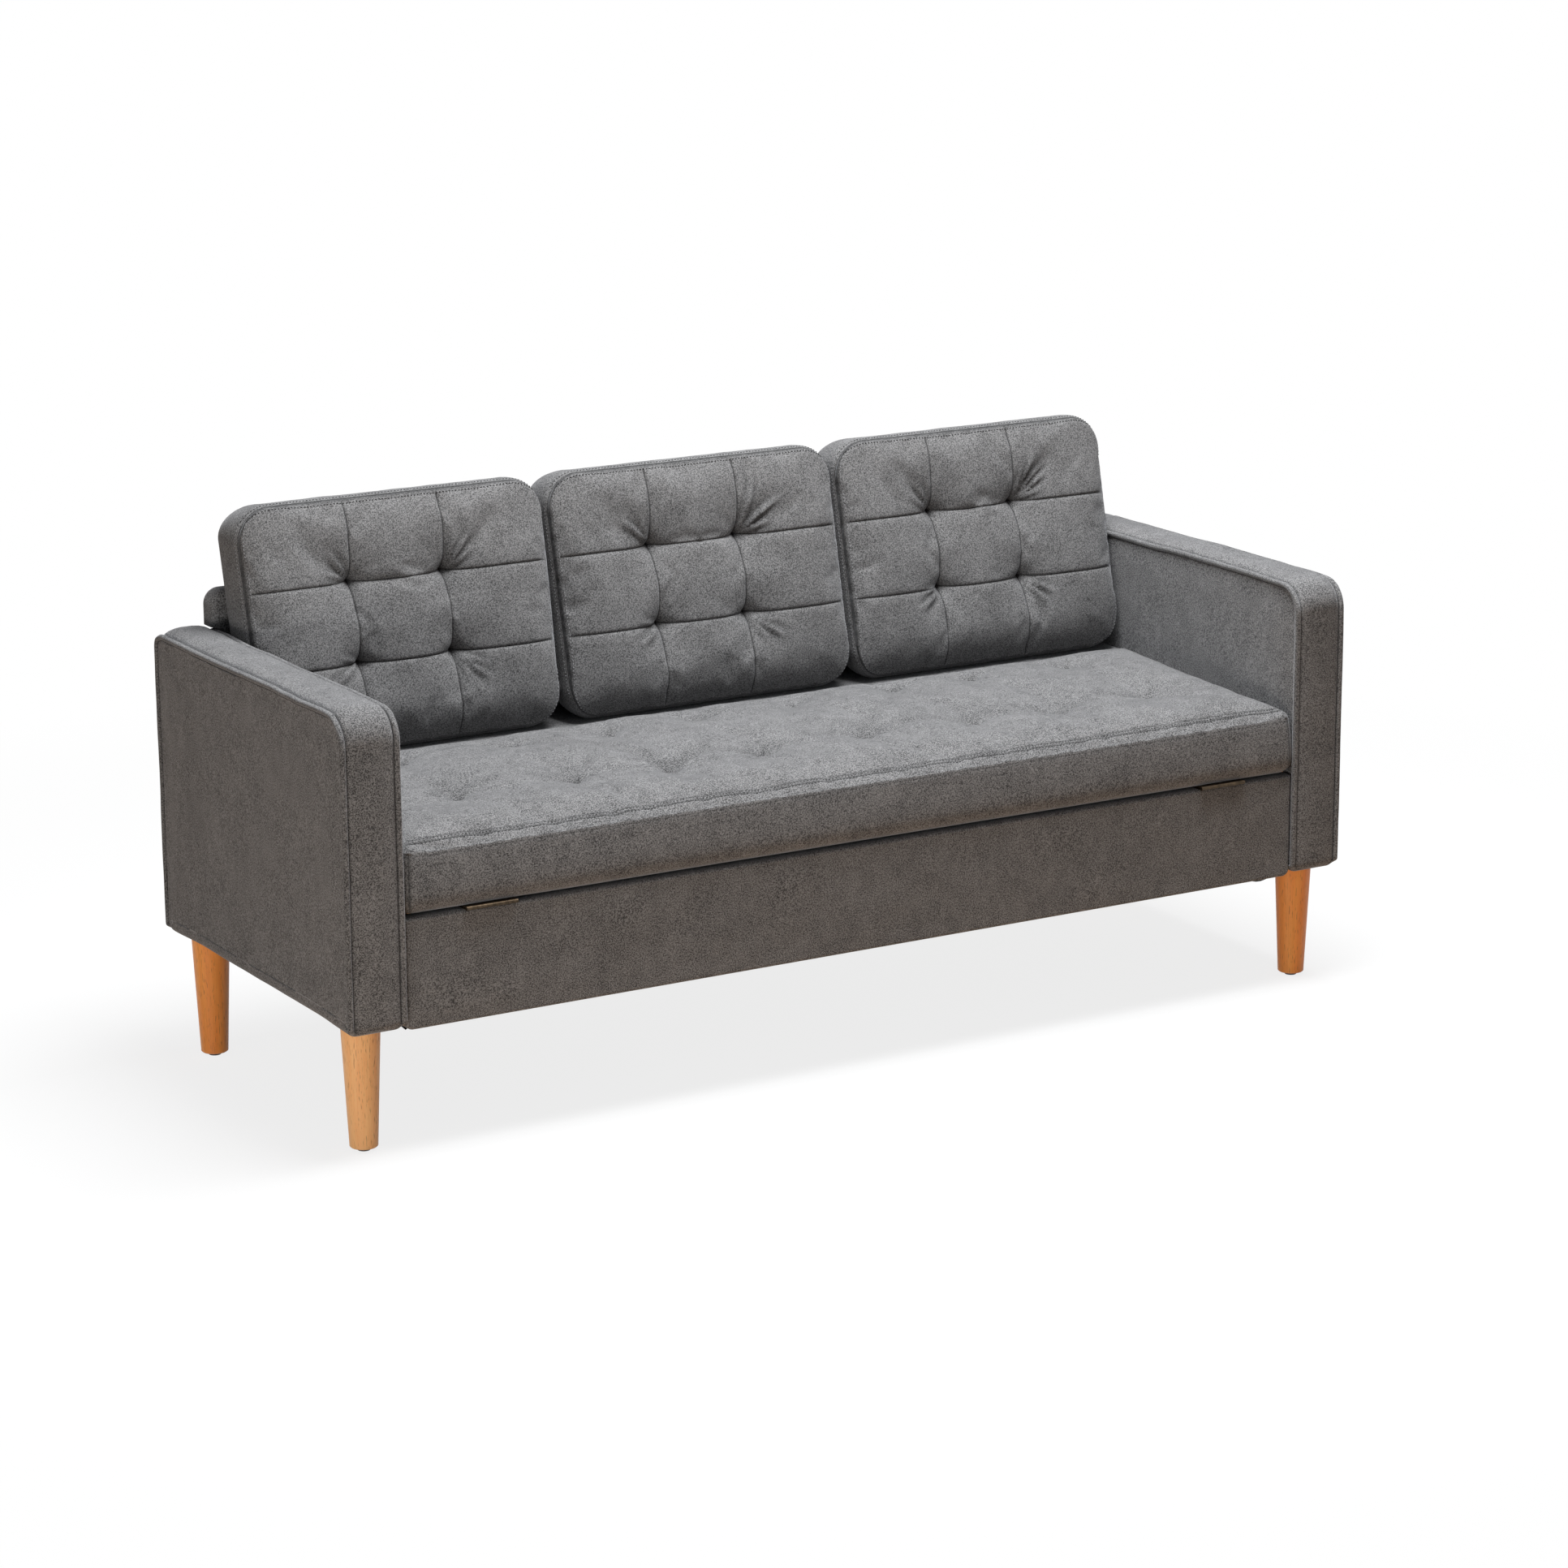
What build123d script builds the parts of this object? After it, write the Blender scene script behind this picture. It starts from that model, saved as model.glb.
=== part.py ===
"""Storage sofa with a lift-up seat.

Millimetres, +Z up, +X to the right seen from the front, the front faces -Y.
The origin is on the floor, under the centre of the sofa's box.

A padded arm stands at each end on two turned legs. Between the arms sits an
open-topped storage box, and a padded back frame closes it behind. The seat is
the lid of the box: its rear edge lifts, and it swings forward about two butt
hinges on the top of the front panel. Three loose back cushions stand on a
narrow fixed deck behind the seat and lean on the back frame.
"""
from build123d import *
import math
import os

# ---- Overall size -----------------------------------------------------------
overall_width = 1690.0
overall_depth = 630.0
overall_height = 820.0

# ---- Legs -------------------------------------------------------------------
leg_height = 176.0
leg_top_radius = 28.0
leg_foot_radius = 20.0
leg_edge_chamfer = 1.5
leg_end_inset = 60.0          # from the arm's end to the leg's axis
glide_height = 5.0
glide_radius = 9.0
glide_pin_radius = 1.5
glide_pin_length = 18.0
plate_side = 46.0
plate_thickness = 3.0
plate_boss_radius = 7.0
plate_boss_height = 11.0
plate_screw_inset = 6.0
hanger_bolt_radius = 4.0
hanger_bolt_depth = 45.0      # into the leg

# ---- Arms -------------------------------------------------------------------
arm_width = 90.0
arm_rise = 453.0              # from the arm's underside to its top seam
arm_front_corner = 45.0
arm_rear_corner = 22.0
arm_foot_corner = 16.0
arm_edge_round = 5.0
arm_side_padding = 10.0
arm_edge_padding = 12.0       # front, top and rear
underside_padding = 5.0
arm_panel_thickness = 9.0
arm_rail_height = 26.0
arm_post_width = 40.0
arm_post_count = 4
ridge_width = 6.0             # the topstitched seams along the arm's edges
ridge_height = 2.0
ridge_inset = 4.0

# ---- Storage box ------------------------------------------------------------
box_rise = 157.0              # from the underside to the front panel's top
board_thickness = 15.0
front_padding = 10.0
front_lip = 3.0               # the cover's thickness where it wraps the board
front_setback = 7.0           # the panel's face behind the arm fronts
front_corner_round = 6.0
batten_height = 20.0
batten_width = 20.0
slat_width = 30.0
slat_count = 8
bottom_board_thickness = 6.0
dust_cover_thickness = 1.0

# ---- Hinges -----------------------------------------------------------------
hinge_length = 80.0
hinge_offset = 621.0          # from the sofa's middle to the hinge's middle
hinge_leaf_thickness = 1.2
hinge_leaf_gap = 1.6
hinge_leaf_reach = 27.5       # from the pin's axis to the leaf's rear edge
hinge_knuckle_radius = 3.0
hinge_knuckle_count = 5
hinge_pin_radius = 1.5
hinge_running_gap = 0.05
hinge_knuckle_gap = 0.3
hinge_face_gap = 0.5          # between the barrel and the front panel's cover
hinge_screw_pitch = 26.0
hinge_screw_length = 12.0

# ---- Seat lid ---------------------------------------------------------------
seat_edge_height = 85.0       # of the boxed front, from the lid's underside
seat_rear_height = 103.0
seat_crown = 26.0             # of the tuft rows above the line between edges
seat_puff = 9.0               # of the panels between the tuft rows
seat_tuft_depth = 12.0
seat_crease_depth = 2.0
seat_end_rounding = 0.12      # of a panel's width, where the ends have most of their crown
seat_end_crown = 0.5          # of the full crown there
seat_roll = 13.0              # the front's rolled-under lower edge
seat_roll_bulge = 3.0
seat_front_lean = 4.0
seat_nose_setback = 1.0
seat_rear_setback = 3.0
seat_face_bulge = 2.0         # of the boxed front and rear faces
seat_side_gap = 1.5
seat_columns = 9
seat_rows = 3
seat_board_inset = 9.0
seat_foam_inset = 18.0
seat_foam_cover = 18.0        # cover and wadding above the foam
lid_gap = 2.5                 # between the lid's rear edge and the deck
lid_sweep_gap = 6.0           # between the opening lid and the cushions

# ---- Deck behind the seat ---------------------------------------------------
deck_rise = 108.0             # the deck's top above the lid's underside
deck_padding = 10.0
deck_front_padding = 8.0
deck_drop = 50.0
deck_rail_height = 40.0
deck_rail_thickness = 18.0

# ---- Back frame -------------------------------------------------------------
back_rise = 511.0             # from the underside to the top of the back
back_thickness = 38.0
back_padding = 6.0
back_panel_thickness = 6.0
back_overhang = 13.0          # over each arm's top
back_arm_gap = 2.0
back_top_corner = 24.0
back_edge_round = 7.0
back_rail_height = 44.0
back_post_width = 40.0
back_post_count = 9

# ---- Back cushions ----------------------------------------------------------
cushion_count = 3
cushion_side_gap = 0.6
cushion_gusset = 78.0
cushion_lean = 13.7           # degrees from upright
cushion_crown = 20.0
cushion_rear_crown = 6.0
cushion_row_swell = 0.85      # of the crown, over the end rows
cushion_end_swell = 0.15      # of the crown, at the very ends
cushion_corner = 45.0
cushion_face_draw = 20.0
cushion_side_draw = 5.0       # the gusset's seams inside its middle
cushion_seam_offset = 76.0    # from the cushion's middle to its upright seams
cushion_rows = 3
cushion_seam_depth = 4.0
cushion_tuft_depth = 14.0
cushion_puff = 4.0
cushion_outer_puff = 4.0      # more, over the panels beside the gusset
cushion_puff_gain = 0.6       # of a groove's depth, regained between the seams
cushion_wadding = 22.0
cushion_face_wadding = 10.0   # over the filling's front and back, inside the seam lines
cushion_end_cut = 6.0         # of the corner rounding, flattened at the foot and the top
cushion_foot_draw = 45.0      # how far the face runs back down to the foot
cushion_foot_round = 110.0    # the height over which it does
cushion_foot_flat = 3.0       # of that height, pressed flat by the deck
belly_height = 30.0           # over the deck, where the opening lid comes nearest

# ---- Fasteners and fits -----------------------------------------------------
bolt_radius = 4.0
bolt_head_radius = 7.5
bolt_head_height = 4.0
washer_radius = 12.0
washer_thickness = 1.5
tee_nut_flange_radius = 9.0
tee_nut_flange_thickness = 1.5
tee_nut_barrel_radius = 5.2
bolt_end_length = 10.0        # past the nut
screw_radius = 1.75
screw_head_radius = 3.4
screw_head_height = 1.2
screw_length = 35.0
board_screw_inset = 26.0      # from a board's upper and lower edges
plate_screw_length = 14.0
fit_gap = 0.05
side_gap = 0.5
soft_gap = 0.3

# ---- Levels and planes that follow from them --------------------------------
half_width = overall_width / 2
front = -overall_depth / 2
rear = overall_depth / 2
underside = glide_height + leg_height
arm_top = underside + arm_rise
arm_inner = half_width - arm_width
arm_middle = half_width - arm_width / 2
core_front = front + arm_edge_padding
core_rear = rear - arm_edge_padding
core_bottom = underside + underside_padding
core_top = arm_top - arm_edge_padding
rail_inner = arm_inner + arm_side_padding + arm_panel_thickness
rail_outer = half_width - arm_side_padding - arm_panel_thickness

panel_top = underside + box_rise
panel_front = front + front_setback
board_front = panel_front + front_padding
board_rear = board_front + board_thickness
board_bottom = underside + front_lip
board_top = panel_top - front_lip

hinge_axis_y = panel_front - hinge_face_gap - hinge_knuckle_radius
hinge_axis_z = panel_top + hinge_leaf_thickness + hinge_leaf_gap / 2
lid_underside = panel_top + 2 * hinge_leaf_thickness + hinge_leaf_gap

back_front = rear - back_thickness
back_top = underside + back_rise
deck_top = lid_underside + deck_rise
deck_board_top = deck_top - deck_padding
deck_board_bottom = deck_board_top - board_thickness

cushion_foot = deck_top + soft_gap
cushion_middle = (cushion_foot + overall_height) / 2
cushion_rise = overall_height - cushion_foot
cushion_pitch = 2 * arm_inner / cushion_count
cushion_half = cushion_pitch / 2 - cushion_side_gap
lean = math.tan(math.radians(cushion_lean))

seat_half = arm_inner - seat_side_gap
seat_front = hinge_axis_y + hinge_face_gap
seat_rear_top = lid_underside + seat_rear_height

box_end_inner = arm_inner - board_thickness
box_rear_front = back_front - board_thickness
box_side = box_end_inner - side_gap


def cushion_face(height):
    """Y of a cushion's front seam line at a height: the back leans on the frame."""
    at_frame = back_front - soft_gap - cushion_rear_crown - cushion_gusset
    return at_frame + (height - back_top) * lean


def foot_draw(height):
    """How far a cushion's rounded foot sets its face back at a height."""
    rise = (height - cushion_foot + cushion_foot_flat) / cushion_foot_round
    return cushion_foot_draw * (1 - math.sqrt(1 - (1 - min(rise, 1.0)) ** 2))


# The lid's rear top edge swings past the cushions' bellies.
belly_level = deck_top + belly_height
belly_face = cushion_face(belly_level) + foot_draw(belly_level)
belly_front = belly_face - cushion_crown * cushion_row_swell - cushion_puff
belly_reach = math.hypot(belly_front - hinge_axis_y, belly_level - hinge_axis_z)
seat_rear = hinge_axis_y + math.sqrt(
    (belly_reach - lid_sweep_gap) ** 2 - (seat_rear_top - hinge_axis_z) ** 2
)
deck_front = seat_rear + lid_gap
deck_board_front = deck_front + deck_front_padding

FROM_START = (Align.CENTER, Align.CENTER, Align.MIN)


# ---- Shapes used more than once ---------------------------------------------
def block(x, y, z):
    """A box from its (low, high) limits along each axis."""
    centre = [(low + high) / 2 for low, high in (x, y, z)]
    size = [high - low for low, high in (x, y, z)]
    return Pos(*centre) * Box(*size)


def rod(start, direction, radius, length):
    """A round bar that starts at a point."""
    return Plane(origin=start, z_dir=direction) * Cylinder(radius, length, align=FROM_START)


def screw(start, direction, length, grow=0.0):
    """A countersunk wood screw with its head flush at the start; grow makes its hole."""
    place = Plane(origin=start, z_dir=direction)
    head = Cone(
        screw_head_radius + grow, screw_radius + grow, screw_head_height, align=FROM_START
    )
    shank = Cylinder(screw_radius + grow, length + grow, align=FROM_START)
    return place * (head + shank)


def without(shape, tools):
    """The shape with every tool cut out of it."""
    for tool in tools:
        shape = shape - tool
    return shape


def both_sides(shapes):
    """The shapes and their mirror images across the sofa's middle."""
    return [*shapes, *[shape.mirror(Plane.YZ) for shape in shapes]]


def spaced(low, high, count):
    """Positions of count pieces, evenly spaced from low to high."""
    return [low + (high - low) * i / (count - 1) for i in range(count)]


def middles(values):
    """Halfway points between neighbouring values."""
    return [(a + b) / 2 for a, b in zip(values, values[1:])]


def quilted(outline, stations, breaks, axis):
    """One solid of smooth lofts along the axis, which meet at each break's outline."""
    stations = sorted(stations)
    stops = [stations[0][0], *breaks, stations[-1][0]]
    bays = []
    for low, high in zip(stops, stops[1:]):
        wires = [outline(*station) for station in stations if low <= station[0] <= high]
        bays.append(Solid.make_loft(wires, ruled=False).faces().sort_by(axis))
    sides = [face for bay in bays for face in bay[1:-1]]
    return Solid(Shell([bays[0][0], *sides, bays[-1][-1]]))


# ---- Legs -------------------------------------------------------------------
leg_places = [
    (side * arm_middle, end)
    for side in (-1, 1)
    for end in (front + leg_end_inset, rear - leg_end_inset)
]


def hanger_bolt(x, y, grow=0.0):
    """The stud between a leg and its plate."""
    top = core_bottom + plate_thickness + plate_boss_height
    bottom = underside - hanger_bolt_depth - grow
    return rod((x, y, bottom), (0, 0, 1), hanger_bolt_radius + grow, top - bottom)


def glide(x, y, grow=0.0):
    """A nail-on plastic glide with its pin."""
    foot = rod((x, y, 0), (0, 0, 1), glide_radius, glide_height)
    pin = rod((x, y, 0), (0, 0, 1), glide_pin_radius + grow, glide_pin_length + grow)
    return foot + pin


def leg(x, y):
    """A turned, tapered beech leg with its two bores."""
    blank = Pos(x, y, glide_height) * Cone(
        leg_foot_radius, leg_top_radius, leg_height, align=FROM_START
    )
    turned = chamfer(blank.edges().filter_by(GeomType.CIRCLE), leg_edge_chamfer)
    return without(turned, [hanger_bolt(x, y, fit_gap), glide(x, y, fit_gap)])


def plate_screws(x, y, grow=0.0):
    """The four screws of a leg's plate."""
    reach = plate_side / 2 - plate_screw_inset
    return [
        screw((x + i * reach, y + j * reach, core_bottom), (0, 0, 1), plate_screw_length, grow)
        for i in (-1, 1)
        for j in (-1, 1)
    ]


def plate_blank(x, y, grow=0.0):
    """A leg's plate with its boss, without holes."""
    half = plate_side / 2 + grow
    flat = block(
        (x - half, x + half), (y - half, y + half), (core_bottom, core_bottom + plate_thickness)
    )
    boss_height = plate_thickness + plate_boss_height
    return flat + rod((x, y, core_bottom), (0, 0, 1), plate_boss_radius + grow, boss_height)


def leg_plate(x, y):
    """A leg's threaded plate, let into the arm's bottom rail."""
    return without(plate_blank(x, y), [hanger_bolt(x, y, fit_gap), *plate_screws(x, y, fit_gap)])


# ---- Arms, made on the right and mirrored -----------------------------------
def arm_profile(x, grow):
    """The arm's side outline, in a plane across X."""
    outline = FilletPolyline(
        (front - grow, underside),
        (front - grow, arm_top + grow),
        (rear + grow, arm_top + grow),
        (rear + grow, underside),
        radius=[arm_foot_corner, arm_front_corner, arm_rear_corner, arm_foot_corner],
        close=True,
    )
    return Pos(x, 0, 0) * make_face(Plane.YZ * outline)


arm_bolt_level = (panel_top + underside) / 2
arm_post_ys = spaced(core_front + arm_post_width / 2, core_rear - arm_post_width / 2, arm_post_count)
arm_bolt_ys = middles(arm_post_ys)
arm_nut_x = rail_inner
bolt_head_x = box_end_inner - washer_thickness


def arm_bolt(y, grow=0.0):
    """A bolt from inside the storage box into the arm."""
    start = (bolt_head_x, y, arm_bolt_level)
    shank = rod(start, (1, 0, 0), bolt_radius + grow, arm_nut_x + bolt_end_length - bolt_head_x)
    head = rod(start, (-1, 0, 0), bolt_head_radius, bolt_head_height)
    return shank + head


def arm_washer(y):
    """The washer under an arm bolt's head."""
    start = (bolt_head_x, y, arm_bolt_level)
    ring = rod(start, (1, 0, 0), washer_radius, washer_thickness)
    return ring - arm_bolt(y, fit_gap)


def tee_nut(start, direction, hole, depth):
    """A tee nut driven in from the far side, with the bolt's hole through it."""
    flange = rod(start, direction, tee_nut_flange_radius, tee_nut_flange_thickness)
    backward = [-part for part in direction]
    return flange + rod(start, backward, tee_nut_barrel_radius, depth) - hole


def arm_cover():
    """The arm's padded cover: a closed shell with a raised seam along each edge."""
    body = extrude(arm_profile(arm_inner, -ridge_height), arm_width, dir=(1, 0, 0))
    sides = body.faces().sort_by(Axis.X)
    body = fillet([*sides[0].edges(), *sides[-1].edges()], arm_edge_round)
    for x in (arm_inner + ridge_inset, half_width - ridge_inset - ridge_width):
        body = body + extrude(arm_profile(x, 0.0), ridge_width, dir=(1, 0, 0))
    core = block(
        (arm_inner + arm_side_padding, half_width - arm_side_padding),
        (core_front, core_rear),
        (core_bottom, core_top),
    )
    core_edges = core.edges().filter_by(Axis.X).group_by(Axis.Z)[-1]
    core = fillet(core_edges.sort_by(Axis.Y)[0], arm_front_corner - arm_edge_padding)
    studs = [hanger_bolt(x, y, fit_gap) for x, y in leg_places if x > 0]
    bolts = [arm_bolt(y, fit_gap) for y in arm_bolt_ys]
    return without(body, [core, *studs, *bolts])


def arm_panel(x_low, holes):
    """One of the two plywood faces inside an arm."""
    face = block(
        (x_low, x_low + arm_panel_thickness), (core_front, core_rear), (core_bottom, core_top)
    )
    corner = face.edges().filter_by(Axis.X).group_by(Axis.Z)[-1].sort_by(Axis.Y)[0]
    return without(fillet(corner, arm_front_corner - arm_edge_padding), holes)


def arm_rails():
    """The arm's inner frame: two rails and the posts between them."""
    across = (rail_inner, rail_outer)
    posts = [
        block(
            across,
            (y - arm_post_width / 2, y + arm_post_width / 2),
            (core_bottom + arm_rail_height, core_top - arm_rail_height),
        )
        for y in arm_post_ys
    ]
    bottom = block(across, (core_front, core_rear), (core_bottom, core_bottom + arm_rail_height))
    for x, y in leg_places:
        if x > 0:
            bottom = bottom - plate_blank(x, y, fit_gap)
            bottom = without(bottom, plate_screws(x, y, fit_gap))
    top_front = core_front + arm_front_corner
    top = block(across, (top_front, core_rear), (core_top - arm_rail_height, core_top))
    posts[0] = posts[0] - block(across, (front, top_front), (core_top - arm_front_corner, core_top))
    return [bottom, top, *posts]


# ---- Storage box ------------------------------------------------------------
box_screw_levels = (board_bottom + board_screw_inset, board_top - board_screw_inset)
box_end_middle = arm_inner - board_thickness / 2
deck_screw_y = (deck_board_front + box_rear_front) / 2
box_rear_middle = back_front - board_thickness / 2


def box_screws(grow=0.0):
    """Screws through the front and rear boards into the box ends, on the right."""
    front_ones = [
        screw((box_end_middle, board_front, z), (0, 1, 0), screw_length, grow)
        for z in box_screw_levels
    ]
    rear_ones = [
        screw((box_end_middle, back_front, z), (0, -1, 0), screw_length, grow)
        for z in box_screw_levels
    ]
    return front_ones + rear_ones


def deck_screws(grow=0.0):
    """Screws down through the deck into the box ends and the rear board, on the right."""
    places = [(box_end_middle, deck_screw_y), (box_side / 2, box_rear_middle)]
    return [screw((x, y, deck_board_top), (0, 0, -1), screw_length, grow) for x, y in places]


def hinge_screws(level, direction, grow=0.0):
    """The screws of the right hinge's leaf, over the front board's middle."""
    y = (board_front + board_rear) / 2
    return [
        screw((hinge_offset + i * hinge_screw_pitch, y, level), direction, hinge_screw_length, grow)
        for i in (-1, 0, 1)
    ]


fixed_leaf_top = panel_top + hinge_leaf_thickness
moving_leaf_bottom = lid_underside - hinge_leaf_thickness


def fixed_hinge_screws(grow=0.0):
    """Screws down into the front board."""
    return hinge_screws(fixed_leaf_top, (0, 0, -1), grow)


def moving_hinge_screws(grow=0.0):
    """Screws up into the seat board."""
    return hinge_screws(moving_leaf_bottom, (0, 0, 1), grow)


def front_board():
    """The front board of the box."""
    board = block(
        (-arm_inner + side_gap, arm_inner - side_gap),
        (board_front, board_rear),
        (board_bottom, board_top),
    )
    return without(board, both_sides(box_screws(fit_gap) + fixed_hinge_screws(fit_gap)))


def front_cover():
    """The front board's padded cover, wrapped over its top and bottom."""
    outside = block(
        (-arm_inner + side_gap, arm_inner - side_gap),
        (panel_front, board_rear),
        (underside, panel_top),
    )
    lower_edge = outside.edges().filter_by(Axis.X).group_by(Axis.Z)[0].sort_by(Axis.Y)[0]
    outside = fillet(lower_edge, front_corner_round)
    board = block(
        (-arm_inner, arm_inner), (board_front, board_rear), (board_bottom, board_top)
    )
    return without(outside, [board, *both_sides(fixed_hinge_screws(fit_gap))])


def box_end():
    """The right end of the box; its rear part rises to carry the deck."""
    across = (box_end_inner, arm_inner)
    low = block(across, (board_rear, back_front - board_thickness), (board_bottom, lid_underside))
    raised = block(
        across, (deck_board_front, back_front - board_thickness), (board_bottom, deck_board_bottom)
    )
    holes = [arm_bolt(y, fit_gap) for y in arm_bolt_ys]
    return without(low + raised, [*holes, *box_screws(fit_gap), *deck_screws(fit_gap)])


def rear_board():
    """The rear board of the box, against the back frame."""
    board = block(
        (-arm_inner + side_gap, arm_inner - side_gap),
        (box_rear_front, back_front),
        (board_bottom, deck_board_bottom),
    )
    holes = both_sides(box_screws(fit_gap) + deck_screws(fit_gap))
    return without(board, [*holes, *[back_bolt(x, fit_gap) for x in back_bolt_xs]])


def bottom_battens():
    """Battens along the front and rear boards."""
    level = (board_bottom, board_bottom + batten_height)
    along = (-box_side, box_side)
    return [
        block(along, (board_rear, board_rear + batten_width), level),
        block(along, (box_rear_front - batten_width, box_rear_front), level),
    ]


def bottom_slats():
    """Slats from batten to batten under the bottom board."""
    across = (board_rear + batten_width, box_rear_front - batten_width)
    level = (board_bottom, board_bottom + batten_height)
    reach = box_side - slat_width / 2
    return [
        block((x - slat_width / 2, x + slat_width / 2), across, level)
        for x in spaced(-reach, reach, slat_count)
    ]


def bottom_board():
    """The floor of the storage box."""
    low = board_bottom + batten_height
    return block(
        (-box_side, box_side), (board_rear, box_rear_front), (low, low + bottom_board_thickness)
    )


def dust_cover():
    """The thin cloth stapled under the box."""
    return block(
        (-box_end_middle, box_end_middle),
        (board_rear, box_rear_middle),
        (board_bottom - dust_cover_thickness, board_bottom),
    )


# ---- Deck behind the seat ---------------------------------------------------
def deck_board():
    """The fixed board that the back cushions stand on."""
    board = block(
        (-arm_inner + side_gap, arm_inner - side_gap),
        (deck_board_front, back_front),
        (deck_board_bottom, deck_board_top),
    )
    return without(board, both_sides(deck_screws(fit_gap)))


def deck_rail():
    """The rail that stiffens the deck's front edge."""
    return block(
        (-box_side, box_side),
        (deck_board_front, deck_board_front + deck_rail_thickness),
        (deck_board_bottom - deck_rail_height, deck_board_bottom),
    )


def deck_cover():
    """The deck's padded cover, turned down over its front edge."""
    across = (-arm_inner + side_gap, arm_inner - side_gap)
    outside = block(across, (deck_front, back_front), (deck_top - deck_drop, deck_top))
    edge = outside.edges().filter_by(Axis.X).group_by(Axis.Z)[-1].sort_by(Axis.Y)[0]
    outside = fillet(edge, deck_front_padding / 2)
    return outside - block(across, (deck_board_front, rear), (underside, deck_board_top))


# ---- Back frame -------------------------------------------------------------
back_core = (back_front + back_padding, rear - back_padding)
back_rail_front = back_core[0] + back_panel_thickness
back_core_half = arm_inner - side_gap - back_padding
back_core_bottom = underside + back_padding
back_core_top = back_top - back_padding
back_post_xs = spaced(
    -back_core_half + back_post_width / 2, back_core_half - back_post_width / 2, back_post_count
)
back_bay_xs = middles(back_post_xs)
back_bolt_xs = [back_bay_xs[i] for i in (0, 2, -3, -1)]


def back_bolt(x, grow=0.0):
    """A bolt from inside the storage box into the back frame."""
    start = (x, box_rear_front - washer_thickness, arm_bolt_level)
    reach = back_rail_front - start[1] + bolt_end_length
    shank = rod(start, (0, 1, 0), bolt_radius + grow, reach)
    return shank + rod(start, (0, -1, 0), bolt_head_radius, bolt_head_height)


def back_washer(x):
    """The washer under a back bolt's head."""
    start = (x, box_rear_front - washer_thickness, arm_bolt_level)
    return rod(start, (0, 1, 0), washer_radius, washer_thickness) - back_bolt(x, fit_gap)


def back_tee_nut(x):
    """A tee nut in the back frame's panel."""
    start = (x, back_rail_front, arm_bolt_level)
    return tee_nut(start, (0, 1, 0), back_bolt(x, fit_gap), back_panel_thickness)


def back_panel():
    """The plywood front of the back frame."""
    panel = block(
        (-back_core_half, back_core_half),
        (back_core[0], back_rail_front),
        (back_core_bottom, back_core_top),
    )
    barrels = [
        rod((x, back_rail_front, arm_bolt_level), (0, -1, 0), tee_nut_barrel_radius + fit_gap,
            back_panel_thickness)
        for x in back_bolt_xs
    ]
    return without(panel, barrels)


def back_rails():
    """The timber rails and posts of the back frame."""
    depth = (back_rail_front, back_core[1])
    along = (-back_core_half, back_core_half)
    bottom = block(along, depth, (back_core_bottom, back_core_bottom + back_rail_height))
    top = block(along, depth, (back_core_top - back_rail_height, back_core_top))
    posts = [
        block(
            (x - back_post_width / 2, x + back_post_width / 2),
            depth,
            (back_core_bottom + back_rail_height, back_core_top - back_rail_height),
        )
        for x in back_post_xs
    ]
    return [bottom, top, *posts]


def back_cover():
    """The back frame's padded cover; its top overhangs the arms a little."""
    lower_half = arm_inner - side_gap
    upper_half = arm_inner + back_overhang
    depth = (back_front, rear)
    lower = block((-lower_half, lower_half), depth, (underside, back_top))
    upper = block((-upper_half, upper_half), depth, (arm_top + back_arm_gap, back_top))
    corners = upper.edges().filter_by(Axis.Y).group_by(Axis.Z)[-1]
    shell = lower + fillet(corners, back_top_corner) - corner_waste(lower_half, upper_half)
    top_edges = shell.faces().sort_by(Axis.Z)[-1].edges().filter_by(Axis.X)
    shell = fillet(top_edges, back_edge_round)
    core = block(
        (-back_core_half, back_core_half), back_core, (back_core_bottom, back_core_top)
    )
    return without(shell, [core, *[back_bolt(x, fit_gap) for x in back_bolt_xs]])


def corner_waste(lower_half, upper_half):
    """What the rounded top corners leave outside them."""
    tops = block((-upper_half, upper_half), (back_front, rear), (arm_top + back_arm_gap, back_top))
    corners = tops.edges().filter_by(Axis.Y).group_by(Axis.Z)[-1]
    return tops - fillet(corners, back_top_corner)


# ---- Seat lid ---------------------------------------------------------------
def seat_section(x, crown, puff, groove):
    """The pad's outline across X: rolled front, three top panels, boxed rear."""
    edge_z = lid_underside + seat_edge_height
    line = (seat_rear_top - edge_z) / (seat_rear - seat_front)
    row_ys = [
        seat_front + (seat_rear - seat_front) * row / seat_rows for row in range(1, seat_rows)
    ]
    tops = [(seat_front + seat_front_lean, edge_z)]
    tops += [(y, edge_z + (y - seat_front) * line + crown - groove) for y in row_ys]
    tops += [(seat_rear - seat_rear_setback, seat_rear_top)]
    foot_front = (seat_front + seat_roll, lid_underside)
    foot_rear = (seat_rear - seat_rear_setback, lid_underside)
    nose = (seat_front + seat_nose_setback, lid_underside + seat_roll)

    def bulge(start, end, height):
        """An arc from start to end, pushed out to the right of the way it runs."""
        dy, dz = end[0] - start[0], end[1] - start[1]
        length = math.hypot(dy, dz)
        middle = ((start[0] + end[0]) / 2 + height * dz / length,
                  (start[1] + end[1]) / 2 - height * dy / length)
        return ThreePointArc((x, *start), (x, *middle), (x, *end))

    edges = [Line((x, *foot_front), (x, *foot_rear))]
    edges.append(bulge(foot_rear, tops[-1], seat_face_bulge))
    for start, end in zip(tops[:0:-1], tops[-2::-1]):
        edges.append(bulge(start, end, puff + groove / 2))
    edges.append(bulge(tops[0], nose, seat_face_bulge))
    edges.append(bulge(nose, foot_front, seat_roll_bulge))
    return Wire(edges)


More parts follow.
